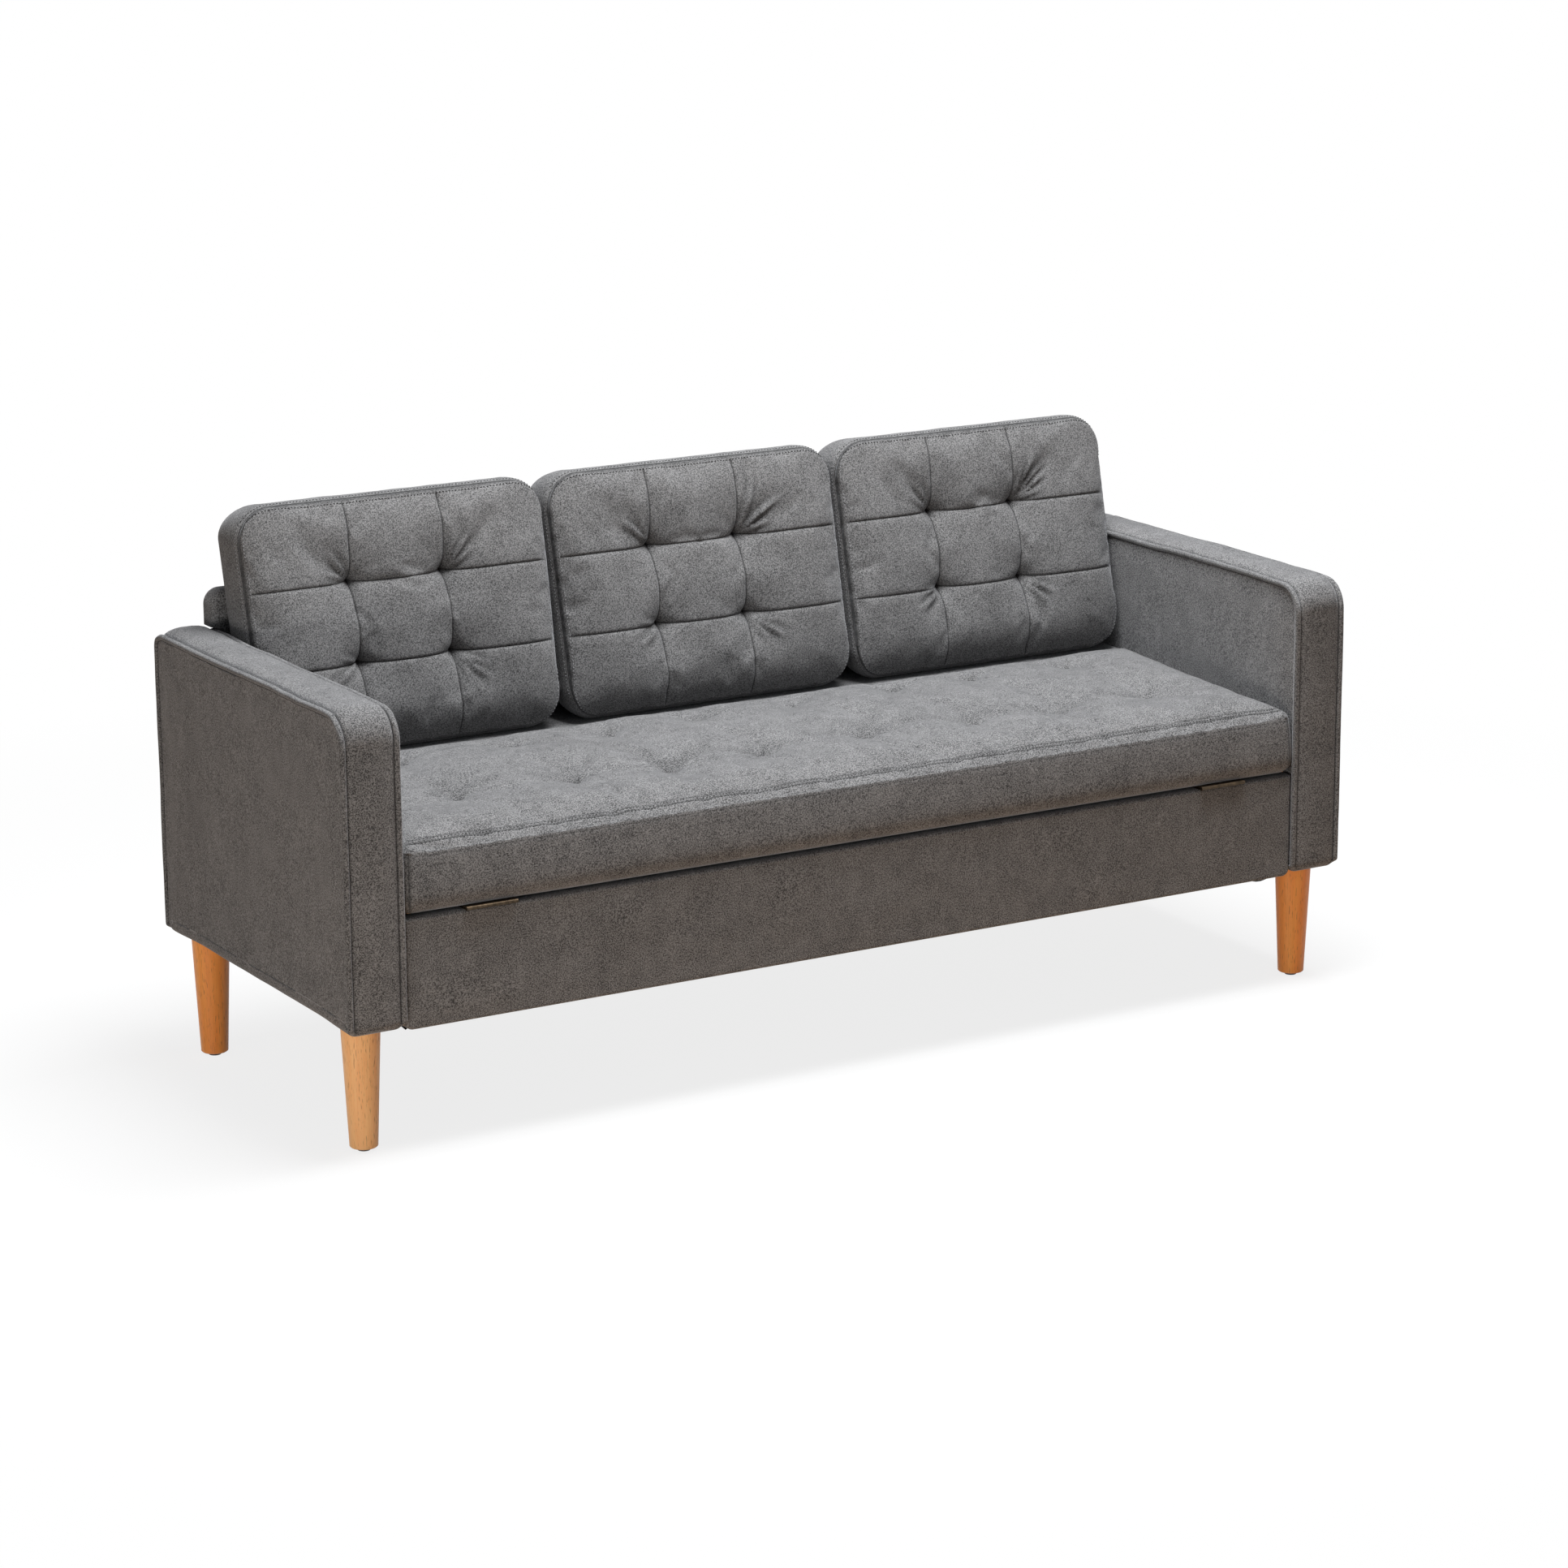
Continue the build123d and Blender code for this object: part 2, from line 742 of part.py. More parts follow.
def seat_form():
    """The crowned pad: blind tufts lie where the panels' lines cross."""
    pitch = 2 * seat_half / seat_columns
    tuft_lines = [-seat_half + column * pitch for column in range(1, seat_columns)]
    stations = [(x, seat_crown, seat_puff / 2, seat_tuft_depth) for x in tuft_lines]
    for x in middles([-seat_half, *tuft_lines, seat_half]):
        stations.append((x, seat_crown, seat_puff, seat_crease_depth))
    for side in (-1, 1):
        stations.append((side * seat_half, 0.0, seat_crease_depth, 0.0))
        rounding = side * (seat_half - pitch * seat_end_rounding)
        stations.append((rounding, seat_crown * seat_end_crown, seat_puff, 0.0))
    return quilted(seat_section, stations, tuft_lines, Axis.X)


def seat_foam():
    """The foam block on the seat board."""
    top = lid_underside + seat_edge_height - seat_foam_cover
    rise = seat_rear_height - seat_edge_height
    points = [
        (seat_front + seat_foam_inset, lid_underside + board_thickness),
        (seat_front + seat_foam_inset, top),
        (seat_rear - seat_foam_inset, top + rise),
        (seat_rear - seat_foam_inset, lid_underside + board_thickness),
    ]
    outline = make_face(Plane.YZ * Polyline(*points, close=True))
    half = seat_half - seat_foam_inset
    return extrude(Pos(-half, 0, 0) * outline, 2 * half, dir=(1, 0, 0))


def seat_board():
    """The plywood board under the seat's foam."""
    return block(
        (-seat_half + seat_board_inset, seat_half - seat_board_inset),
        (board_front, seat_rear - seat_board_inset),
        (lid_underside, lid_underside + board_thickness),
    )


# ---- Hinges, made on the right and mirrored ---------------------------------
def hinge_leaf(level, own_knuckles, screws):
    """A leaf with its share of the knuckles around the pin."""
    start = hinge_offset - hinge_length / 2
    pitch = hinge_length / hinge_knuckle_count
    clear = hinge_knuckle_radius + hinge_knuckle_gap
    plate = block(
        (start, start + hinge_length),
        (hinge_axis_y + clear, hinge_axis_y + hinge_leaf_reach),
        (level, level + hinge_leaf_thickness),
    )
    for i in own_knuckles:
        low = start + i * pitch + hinge_knuckle_gap / 2
        high = start + (i + 1) * pitch - hinge_knuckle_gap / 2
        tab = block(
            (low, high), (hinge_axis_y, hinge_axis_y + clear), (level, level + hinge_leaf_thickness)
        )
        barrel = rod((low, hinge_axis_y, hinge_axis_z), (1, 0, 0), hinge_knuckle_radius, high - low)
        plate = plate + tab + barrel
    bore = rod(
        (start, hinge_axis_y, hinge_axis_z),
        (1, 0, 0),
        hinge_pin_radius + hinge_running_gap,
        hinge_length,
    )
    return without(plate, [bore, *screws])


def hinge_pin():
    """The right hinge's pin."""
    start = (hinge_offset - hinge_length / 2, hinge_axis_y, hinge_axis_z)
    return rod(start, (1, 0, 0), hinge_pin_radius, hinge_length)


# ---- Back cushions ----------------------------------------------------------
def cushion_section(height, side_in, face_in, swell, groove):
    """A cushion's outline at a height: three front panels, boxed sides and a back."""
    face = cushion_face(height) + max(face_in, foot_draw(height))
    back = cushion_face(height) + cushion_gusset - face_in
    half = cushion_half - side_in
    seam = half - cushion_side_draw
    crown = cushion_crown * swell
    inner = face - crown + groove
    puff = cushion_puff + groove * cushion_puff_gain
    outer_x = (seam + cushion_seam_offset) / 2
    outer_y = (face + inner) / 2 - puff - cushion_outer_puff * swell
    middle = (face + back) / 2

    def arc(start, through, end):
        return ThreePointArc((*start, height), (*through, height), (*end, height))

    offset = cushion_seam_offset
    return Wire([
        arc((-seam, face), (-outer_x, outer_y), (-offset, inner)),
        arc((-offset, inner), (0, inner - puff), (offset, inner)),
        arc((offset, inner), (outer_x, outer_y), (seam, face)),
        arc((seam, face), (half, middle), (seam, back)),
        arc((seam, back), (0, back + cushion_rear_crown * swell + soft_gap), (-seam, back)),
        arc((-seam, back), (-half, middle), (-seam, face)),
    ])


def cushion_form():
    """A cushion about X = 0: rounded ends, nine puffed panels and four tufts."""
    stations = []
    for depth in (cushion_end_cut, cushion_corner / 3, cushion_corner * 2 / 3, cushion_corner):
        share = 1 - math.sqrt(1 - (1 - depth / cushion_corner) ** 2)
        rise = depth - cushion_end_cut
        swell = cushion_end_swell + (cushion_row_swell - cushion_end_swell) * (1 - share)
        for height in (cushion_foot + rise, overall_height - rise):
            stations.append(
                (height, share * cushion_corner, share * cushion_face_draw, swell, 0.0)
            )
    tuft_lines = [
        cushion_foot + cushion_rise * row / cushion_rows for row in range(1, cushion_rows)
    ]
    for height in tuft_lines:
        stations.append((height, 0.0, 0.0, 1.0, cushion_tuft_depth))
    for height in middles([cushion_foot, *tuft_lines, overall_height]):
        swell = cushion_row_swell if abs(height - cushion_middle) > cushion_corner else 1.0
        stations.append((height, 0.0, 0.0, swell, cushion_seam_depth))
    round_rise = cushion_corner - cushion_end_cut
    breaks = [cushion_foot + round_rise, *tuft_lines, overall_height - round_rise]
    return quilted(cushion_section, stations, breaks, Axis.Z)


def cushion_filling(grow):
    """The fibre-wrapped foam core of a cushion about X = 0."""
    ends = []
    for height in (cushion_foot + cushion_wadding - grow, overall_height - cushion_wadding + grow):
        half = cushion_half - cushion_wadding + grow
        face = cushion_face(height) + max(cushion_face_wadding, foot_draw(height)) - grow
        back = cushion_face(height) + cushion_gusset - cushion_face_wadding + grow
        ends.append(Wire(Polyline(
            (-half, face, height), (half, face, height), (half, back, height),
            (-half, back, height), close=True,
        )))
    return Solid.make_loft(ends, ruled=True)


cushion_xs = {
    name: (i - (cushion_count - 1) / 2) * cushion_pitch
    for i, name in enumerate(("left", "middle", "right"))
}


# ---- All sub-parts ----------------------------------------------------------
def build_parts():
    """Every node's name with the solids in it."""
    parts = {}

    for (x, y), name in zip(leg_places, ("front_left", "rear_left", "front_right", "rear_right")):
        parts[f"{name}_leg"] = [leg(x, y)]
    parts["leg_hanger_bolts"] = [hanger_bolt(x, y) for x, y in leg_places]
    parts["leg_plates"] = [leg_plate(x, y) for x, y in leg_places]
    parts["leg_plate_screws"] = [piece for x, y in leg_places for piece in plate_screws(x, y)]
    parts["leg_glides"] = [glide(x, y) for x, y in leg_places]

    nut_hole = [
        rod((rail_inner, y, arm_bolt_level), (-1, 0, 0), tee_nut_barrel_radius + fit_gap,
            arm_panel_thickness)
        for y in arm_bolt_ys
    ]
    right_arm = {
        "arm_cover": [arm_cover()],
        "arm_inner_panel": [arm_panel(arm_inner + arm_side_padding, nut_hole)],
        "arm_outer_panel": [arm_panel(rail_outer, [])],
        "arm_frame": arm_rails(),
    }
    for name, solids in right_arm.items():
        parts[f"right_{name}"] = solids
        parts[f"left_{name}"] = [solid.mirror(Plane.YZ) for solid in solids]

    parts["front_panel_board"] = [front_board()]
    parts["front_panel_cover"] = [front_cover()]
    parts["right_box_end"] = [box_end()]
    parts["left_box_end"] = [box_end().mirror(Plane.YZ)]
    parts["box_rear_board"] = [rear_board()]
    parts["bottom_battens"] = bottom_battens()
    parts["bottom_slats"] = bottom_slats()
    parts["bottom_board"] = [bottom_board()]
    parts["dust_cover"] = [dust_cover()]
    parts["box_screws"] = both_sides(box_screws())

    parts["arm_bolts"] = both_sides([arm_bolt(y) for y in arm_bolt_ys])
    parts["back_bolts"] = [back_bolt(x) for x in back_bolt_xs]
    parts["bolt_washers"] = [
        *both_sides([arm_washer(y) for y in arm_bolt_ys]),
        *[back_washer(x) for x in back_bolt_xs],
    ]
    arm_nuts = [
        tee_nut((arm_nut_x, y, arm_bolt_level), (1, 0, 0), arm_bolt(y, fit_gap), arm_panel_thickness)
        for y in arm_bolt_ys
    ]
    parts["tee_nuts"] = [*both_sides(arm_nuts), *[back_tee_nut(x) for x in back_bolt_xs]]

    parts["deck_board"] = [deck_board()]
    parts["deck_rail"] = [deck_rail()]
    parts["deck_cover"] = [deck_cover()]
    parts["deck_screws"] = both_sides(deck_screws())

    parts["back_frame"] = back_rails()
    parts["back_panel"] = [back_panel()]
    parts["back_cover"] = [back_cover()]

    seat_screw_holes = both_sides(moving_hinge_screws(fit_gap))
    parts["seat_board"] = [without(seat_board(), seat_screw_holes)]
    parts["seat_foam"] = [seat_foam()]
    parts["seat_cover"] = [without(seat_form(), [seat_board(), seat_foam()])]

    knuckles = range(hinge_knuckle_count)
    fixed = hinge_leaf(panel_top, knuckles[::2], fixed_hinge_screws(fit_gap))
    moving = hinge_leaf(moving_leaf_bottom, knuckles[1::2], moving_hinge_screws(fit_gap))
    parts["hinge_fixed_leaves"] = both_sides([fixed])
    parts["hinge_seat_leaves"] = both_sides([moving])
    parts["hinge_pins"] = both_sides([hinge_pin()])
    parts["hinge_box_screws"] = both_sides(fixed_hinge_screws())
    parts["hinge_seat_screws"] = both_sides(moving_hinge_screws())

    cover = cushion_form() - cushion_filling(soft_gap)
    filling = cushion_filling(0.0)
    for name, x in cushion_xs.items():
        parts[f"{name}_cushion_cover"] = [Pos(x, 0, 0) * cover]
        parts[f"{name}_cushion_filling"] = [Pos(x, 0, 0) * filling]
    return parts


os.makedirs("parts", exist_ok=True)
for node, solids in build_parts().items():
    shape = solids[0] if len(solids) == 1 else Compound(solids)
    export_step(shape, f"parts/{node}.step")
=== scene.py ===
"""Looks for the storage sofa: padded covers, sewn cushions, timber, hinges, floor and light.

Metres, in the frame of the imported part: +X right, +Y back, +Z up, floor at zero.
Every soft cover is a boxed form: a gridded front panel, rows of points round its
edge, and a gridded back panel, so seams, welts and stitches follow the grid.
"""

import math

import bpy
import numpy as np
from mathutils import Matrix, Vector
from mathutils.bvhtree import BVHTree


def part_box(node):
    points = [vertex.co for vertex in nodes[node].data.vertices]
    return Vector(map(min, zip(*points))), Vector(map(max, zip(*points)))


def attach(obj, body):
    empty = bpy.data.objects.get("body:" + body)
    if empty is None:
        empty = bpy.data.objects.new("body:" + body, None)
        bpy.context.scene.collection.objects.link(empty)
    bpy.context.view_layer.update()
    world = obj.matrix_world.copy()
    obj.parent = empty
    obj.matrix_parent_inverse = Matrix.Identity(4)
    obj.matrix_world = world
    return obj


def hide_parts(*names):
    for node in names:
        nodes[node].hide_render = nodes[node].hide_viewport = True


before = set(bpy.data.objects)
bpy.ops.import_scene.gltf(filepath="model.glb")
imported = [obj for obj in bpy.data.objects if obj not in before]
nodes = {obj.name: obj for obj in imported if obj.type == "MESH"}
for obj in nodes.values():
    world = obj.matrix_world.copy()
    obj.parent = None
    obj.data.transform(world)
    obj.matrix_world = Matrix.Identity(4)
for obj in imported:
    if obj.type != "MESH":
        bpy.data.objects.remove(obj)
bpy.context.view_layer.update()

MM = 0.001

# ---- Places taken from the frame ---------------------------------------------
arm_low, arm_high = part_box("right_arm_cover")
panel_low, panel_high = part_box("front_panel_cover")
seat_low, seat_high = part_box("seat_cover")
lid_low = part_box("seat_board")[0]
deck_low, deck_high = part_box("deck_cover")
back_low, back_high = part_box("back_cover")
dust_low, dust_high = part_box("dust_cover")
cushion_low, cushion_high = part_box("middle_cushion_cover")
cushion_names = ("left", "middle", "right")

# ---- Cushion sizes, as in the part's source ----------------------------------
CUSHION_LEAN = math.tan(math.radians(13.7))
CUSHION_GUSSET = 78 * MM
CUSHION_REAR_CROWN = 6 * MM
CUSHION_CORNER = 54 * MM
FOOT_DRAW = 45 * MM               # how far the face runs back down to the foot
FOOT_ROUND = 110 * MM
SOFT_GAP = 0.3 * MM

# ---- Camera, as the photograph was taken -------------------------------------
SENSOR_WIDTH = 36                 # mm
PHOTO_WIDTH = 1932                # pixels
FOCAL_LENGTH = 5570.1             # pixels
CAMERA_LENS = SENSOR_WIDTH * FOCAL_LENGTH / PHOTO_WIDTH
CAMERA_PLACE = (-3.331, -5.681, 2.050)
CAMERA_YAW = math.radians(-30.63)
CAMERA_PITCH = math.radians(14.40)
CAMERA_ROLL = math.radians(-0.365)


# ==== Numbers and noise =======================================================
def lattice(points, seed):
    """Smooth random heights from -1 to 1 over unit cells."""
    cell = np.floor(points).astype(np.int64)
    part = points - cell
    part = part * part * (3 - 2 * part)
    total = np.zeros(len(points))
    for corner in np.ndindex(2, 2, 2):
        c = cell + np.array(corner)
        h = (c[:, 0] * 73856093) ^ (c[:, 1] * 19349663) ^ (c[:, 2] * 83492791) ^ (seed * 2654435761)
        h = (h ^ (h >> 13)) * 1274126177
        value = ((h ^ (h >> 16)) & 65535) / 32767.5 - 1
        total += value * np.prod(np.where(np.array(corner) == 1, part, 1 - part), axis=1)
    return total


def uneven(points, size, seed, octaves=2):
    """Random heights over lumps of a size, with finer ones on them."""
    flat = np.asarray(points, float).reshape(-1, 3)
    total = sum(lattice(flat / size * 2 ** k, seed + k) * 0.5 ** k for k in range(octaves))
    return total.reshape(np.shape(points)[:-1])


def smooth(low, high, value):
    """0 at low, 1 at high, eased in between; the ends may be given either way round."""
    t = np.clip((value - low) / (high - low), 0, 1)
    return t * t * (3 - 2 * t)


def quarter(share):
    """Height of a quarter circle: 0 at 0, 1 from 1 on."""
    return np.sqrt(np.clip(1 - (1 - np.clip(share, 0, 1)) ** 2, 0, 1))


def bump(distance, width):
    """1 at no distance, falling to 0 over about a width."""
    return np.exp(-(distance / width) ** 2)


# ==== Boxed forms =============================================================
CORNER_SPREAD = (1.0, 0.97, 0.925, 0.85, 0.74, 0.61, 0.47, 0.32, 0.16)   # closer at the border
CORNER_STEPS = len(CORNER_SPREAD)
BESIDE_SEAMS = (0.9, 2.2, 4.5, 8.0)      # grid lines on both sides of a seam, mm from it


def xyz(x, y, z):
    """Points in space; a coordinate that all of them share may be one number."""
    return np.stack(np.broadcast_arrays(x, y, z), -1)


def level(flat, z):
    """Flat points laid in X and Y, at a height."""
    return xyz(flat[..., 0], flat[..., 1], z)


def upright(flat, y):
    """Flat points stood up in X and Z."""
    return xyz(flat[..., 0], y, flat[..., 1])


def sideways(flat, x):
    """Flat points stood up in Y and Z."""
    return xyz(x, flat[..., 0], flat[..., 1])


def lines(low, high, step, seams=(), beside=BESIDE_SEAMS):
    """Grid positions between two ends, closer together beside each seam."""
    marks = set()
    stops = sorted([low, high, *seams])
    for a, b in zip(stops, stops[1:]):
        count = max(2, round((b - a) / step))
        marks.update(np.round(np.linspace(a, b, count + 1), 7))
    for seam in seams:
        near = (beside[-1] if beside else 0.2) * MM * 1.3     # even lines within this give way
        marks = {m for m in marks if abs(m - seam) > near or m in stops}
        marks.update(round(seam + side * f * MM, 7) for f in beside for side in (-1, 1))
        marks.add(round(seam, 7))
    return np.array(sorted(marks))


def border(rows, columns):
    """Row and column numbers once round a grid."""
    r = [0] * columns + list(range(1, rows)) + [rows - 1] * (columns - 1)
    c = list(range(columns)) + [columns - 1] * (rows - 1) + list(range(columns - 2, -1, -1))
    return np.array(r + list(range(rows - 2, 0, -1))), np.array(c + [0] * (rows - 2))


class Panel:
    """A grid over a rounded rectangle; radii are (low-low, high-low, low-high, high-high)."""

    def __init__(self, low, high, radii, us, vs):
        self.low, self.high, self.radii = np.array(low, float), np.array(high, float), radii
        self.us, self.vs = us, vs
        self.shape = (len(vs) + 2 * CORNER_STEPS, len(us) + 2 * CORNER_STEPS)

    @classmethod
    def ruled(cls, low, high, radii, steps, seams=((), ()), beside=BESIDE_SEAMS):
        """A panel whose even grid lines lie between its round corners."""
        ll, hl, lh, hh = radii
        us = lines(low[0] + max(ll, lh), high[0] - max(hl, hh), steps[0], seams[0], beside)
        vs = lines(low[1] + max(ll, hl), high[1] - max(lh, hh), steps[1], seams[1], beside)
        return cls(low, high, radii, us, vs)

    def grid(self, inset=0.0):
        """(rows, columns, 2) points, with the outline moved in by inset."""
        low, high = self.low + inset, self.high - inset
        ll, hl, lh, hh = [max(r - inset, 0.4 * MM) for r in self.radii]
        edge = np.array(CORNER_SPREAD)
        a = np.concatenate([-edge, np.zeros(len(self.us)), edge[::-1]])[None, :]
        b = np.concatenate([-edge, np.zeros(len(self.vs)), edge[::-1]])[:, None]
        blend_u = self._share(self.us)[None, :]
        blend_v = self._share(self.vs)[:, None]
        left = ll + (lh - ll) * blend_v
        right = hl + (hh - hl) * blend_v
        bottom = ll + (hl - ll) * blend_u
        top = lh + (hh - lh) * blend_u
        u = low[0] + left + (high[0] - low[0] - left - right) * blend_u
        v = low[1] + bottom + (high[1] - low[1] - bottom - top) * blend_v
        shift_u = a * np.sqrt(1 - b * b / 2) * np.where(a < 0, left, right)
        shift_v = b * np.sqrt(1 - a * a / 2) * np.where(b < 0, bottom, top)
        return np.stack([u + shift_u, v + shift_v], axis=-1)

    def _share(self, marks):
        """0 to 1 along the grid lines between the corners, flat over the corners."""
        middle = (marks - marks[0]) / (marks[-1] - marks[0])
        return np.concatenate([np.zeros(CORNER_STEPS), middle, np.ones(CORNER_STEPS)])

    def loop(self, depth=0):
        """Row and column numbers once round, on the border or some lines inside it."""
        r, c = border(self.shape[0] - 2 * depth, self.shape[1] - 2 * depth)
        return r + depth, c + depth

    def depth(self, flat):
        """How far points lie inside the outline."""
        off = flat - (self.low + self.high) / 2
        ll, hl, lh, hh = self.radii
        at_left = off[..., 0] < 0
        radius = np.where(off[..., 1] < 0, np.where(at_left, ll, hl), np.where(at_left, lh, hh))
        q = np.abs(off) - (self.high - self.low) / 2 + radius[..., None]
        past = np.linalg.norm(np.maximum(q, 0), axis=-1) + np.minimum(q.max(axis=-1), 0)
        return np.maximum(radius - past, 0)

    def outward(self):
        """Unit directions out of the outline at each border point."""
        ring = (self.grid() - self.grid(1 * MM))[self.loop()]
        return ring / np.linalg.norm(ring, axis=1)[:, None]

    def ring(self, inset):
        """The outline's points, moved in by inset."""
        return self.grid()[self.loop()] - self.outward() * inset


def sheet_faces(rows, columns):
    """Faces of one open grid."""
    index = np.arange(rows * columns).reshape(rows, columns)
    return np.stack([index[:-1, :-1], index[:-1, 1:], index[1:, 1:], index[1:, :-1]], -1).reshape(-1, 4)


def boxed(front, rings, back, flip=False):
    """Vertices and faces of a closed form from a front grid, rings and a back grid."""
    rows, columns = front.shape[:2]
    r, c = border(rows, columns)
    edge = r * columns + c
    points = [front.reshape(-1, 3), *rings, back.reshape(-1, 3)]
    starts = np.cumsum([0, *[len(part) for part in points[:-1]]])
    cells = sheet_faces(rows, columns)
    loops = [edge, *[start + np.arange(len(edge)) for start in starts[1:-1]], starts[-1] + edge]
    faces = [cells, cells[:, ::-1] + starts[-1]]
    for one, two in zip(loops, loops[1:]):
        faces.append(np.stack([one, two, np.roll(two, -1), np.roll(one, -1)], -1))
    faces = np.concatenate(faces)
    return np.concatenate(points), faces[:, ::-1] if flip else faces


# ==== Objects =================================================================
def linked(name, data):
    """An object in the scene."""
    obj = bpy.data.objects.new(name, data)
    bpy.context.scene.collection.objects.link(obj)
    return obj


def meshed(name, points, faces):
    """A mesh object in the scene."""
    mesh = bpy.data.meshes.new(name)
    mesh.from_pydata(np.asarray(points, float).tolist(), [], faces)
    return linked(name, mesh)


def fitted(name, points, faces, material, body):
    """A smooth-shaded mesh object that rides on a body."""
    obj = meshed(name, points, faces)
    obj.data.polygons.foreach_set("use_smooth", np.ones(len(obj.data.polygons), bool))
    obj.data.materials.append(material)
    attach(obj, body)
    return obj


def piece(name, points, faces, material, body, shade=None):
    """A piece of cloth or a cover; shade, from 0 to 1, is painted shade that darkens its seams, creases and
    hollows.
    """
    obj = fitted(name, points, faces.tolist(), material, body)
    tone = np.zeros(len(points)) if shade is None else np.clip(shade, 0, 1)
    layer = obj.data.attributes.new("painted_shade", "FLOAT", "POINT")
    layer.data.foreach_set("value", tone.astype(np.float32))
    return obj


# ==== Stitches ================================================================
STITCH_RINGS = ((-1.0, 0.15), (-0.55, 0.85), (0.0, 1.0), (0.55, 0.85), (1.0, 0.15))   # place, thickness
STITCH_SIDES = 6


def read_off(at, along, rows):
    """Rows of three numbers, read off at places along them."""
    return np.stack([np.interp(at, along, rows[:, k]) for k in range(3)], -1)


def stitches(path, normals, pitch, length, radius):
    """Vertices and faces of thread stitches that lie along a path and dip at their ends."""
    steps = np.linalg.norm(np.diff(path, axis=0), axis=1)
    along = np.concatenate([[0], np.cumsum(steps)])
    count = max(1, int(along[-1] / pitch))
    at = (np.arange(count) + 0.5) * along[-1] / count
    middle = read_off(at, along, path)
    way = read_off(at + pitch / 4, along, path) - read_off(at - pitch / 4, along, path)
    way = way / np.maximum(np.linalg.norm(way, axis=1), 1e-9)[:, None]
    out = read_off(at / along[-1], np.linspace(0, 1, len(normals)), normals)
    out -= way * np.sum(out * way, axis=1)[:, None]
    out /= np.linalg.norm(out, axis=1)[:, None]
    side = np.cross(way, out)
    points, faces = [], []
    for t, size in STITCH_RINGS:
        lift = radius * (0.35 - 1.1 * t * t)
        for k in range(STITCH_SIDES):
            angle = 2 * math.pi * k / STITCH_SIDES
            points.append(middle + way * (t * length / 2) + out * (lift + radius * size * math.cos(angle))
                          + side * (radius * size * math.sin(angle)))
    block = len(points)
    points = np.stack(points, 1).reshape(-1, 3)
    local = []
    for ring in range(len(STITCH_RINGS) - 1):
        for k in range(STITCH_SIDES):
            a, b = ring * STITCH_SIDES + k, ring * STITCH_SIDES + (k + 1) % STITCH_SIDES
            local.append((a, b, b + STITCH_SIDES, a + STITCH_SIDES))
    ends = [tuple(range(STITCH_SIDES))[::-1], tuple(range(block - STITCH_SIDES, block))]
    for start in range(0, len(points), block):
        faces += [tuple(v + start for v in face) for face in [*local, *ends]]
    return points, faces


def sewn(name, runs, material, body):
    """One piece made of several runs of stitches."""
    points, faces, start = [], [], 0
    for run_points, run_faces in runs:
        points.append(run_points)
        faces += [tuple(v + start for v in face) for face in run_faces]
        start += len(run_points)
    fitted(name, np.concatenate(points), faces, material, body)


def laid(points, faces, path):
    """A path's nearest places on a surface, with the surface's normals there."""
    tree = BVHTree.FromPolygons(np.asarray(points).tolist(), np.asarray(faces).tolist())
    found = [tree.find_nearest(Vector(spot)) for spot in path]
    return np.array([list(f[0]) for f in found]), np.array([list(f[1]) for f in found])


# ==== Cloth under pressure ====================================================
CLOTH_FRAMES = 20
CLOTH = {"quality": 6, "mass": 0.25, "tension_stiffness": 18, "compression_stiffness": 12,
         "shear_stiffness": 6, "bending_stiffness": 0.6, "air_damping": 3, "vertex_group_mass": "held",
         "use_pressure": True}


def inflated(points, held, pressure, slack):
    """A grid of cloth held at some points, puffed by pressure: how far each point moves."""
    obj = meshed("cloth", points.reshape(-1, 3), sheet_faces(*points.shape[:2]).tolist())
    pins = obj.vertex_groups.new(name="held")
    pins.add(np.flatnonzero(held.ravel()).tolist(), 1.0, "REPLACE")
    cloth = obj.modifiers.new("cloth", "CLOTH")
    for key, value in CLOTH.items():
        setattr(cloth.settings, key, value)
    cloth.settings.uniform_pressure_force = pressure
    cloth.settings.shrink_min = -slack
    cloth.settings.effector_weights.gravity = 0
    cloth.collision_settings.use_collision = False
    cloth.point_cache.frame_start = 1
    cloth.point_cache.frame_end = CLOTH_FRAMES
    scene = bpy.context.scene
    for number in range(1, CLOTH_FRAMES + 1):
        scene.frame_set(number)
    shown = obj.evaluated_get(bpy.context.evaluated_depsgraph_get())
    moved = np.array([v.co for v in shown.data.vertices]).reshape(points.shape)
    bpy.data.objects.remove(obj)
    scene.frame_set(1)
    return moved - points


def capped(move, limit):
    """Moves no longer than a limit."""
    length = np.linalg.norm(move, axis=-1, keepdims=True)
    return move * np.minimum(1, limit / np.maximum(length, 1e-9))


def cubic_weights(at, count):
    """Rows of smooth interpolation weights for fractional places among count samples."""
    base = np.clip(np.floor(at).astype(int), 0, count - 1)
    t = at - base
    table = np.zeros((len(at), count))
    parts = (-0.5 * t ** 3 + t ** 2 - 0.5 * t, 1.5 * t ** 3 - 2.5 * t ** 2 + 1,
             -1.5 * t ** 3 + 2 * t ** 2 + 0.5 * t, 0.5 * t ** 3 - 0.5 * t ** 2)
    for offset, part in zip((-1, 0, 1, 2), parts):
        np.add.at(table, (np.arange(len(at)), np.clip(base + offset, 0, count - 1)), part)
    return table


def carried(move, coarse, fine):
    """A coarse grid's moves, smoothly read off at a finer grid's points."""
    def places(few, many):
        middle = np.interp(many, few, np.arange(len(few))) + CORNER_STEPS
        ends = np.arange(CORNER_STEPS)
        return np.concatenate([ends, middle, ends + CORNER_STEPS + len(few)])
    by_row = cubic_weights(places(coarse.vs, fine.vs), move.shape[0])
    by_column = cubic_weights(places(coarse.us, fine.us), move.shape[1])
    return np.einsum("ri,ijk,cj->rck", by_row, move, by_column)


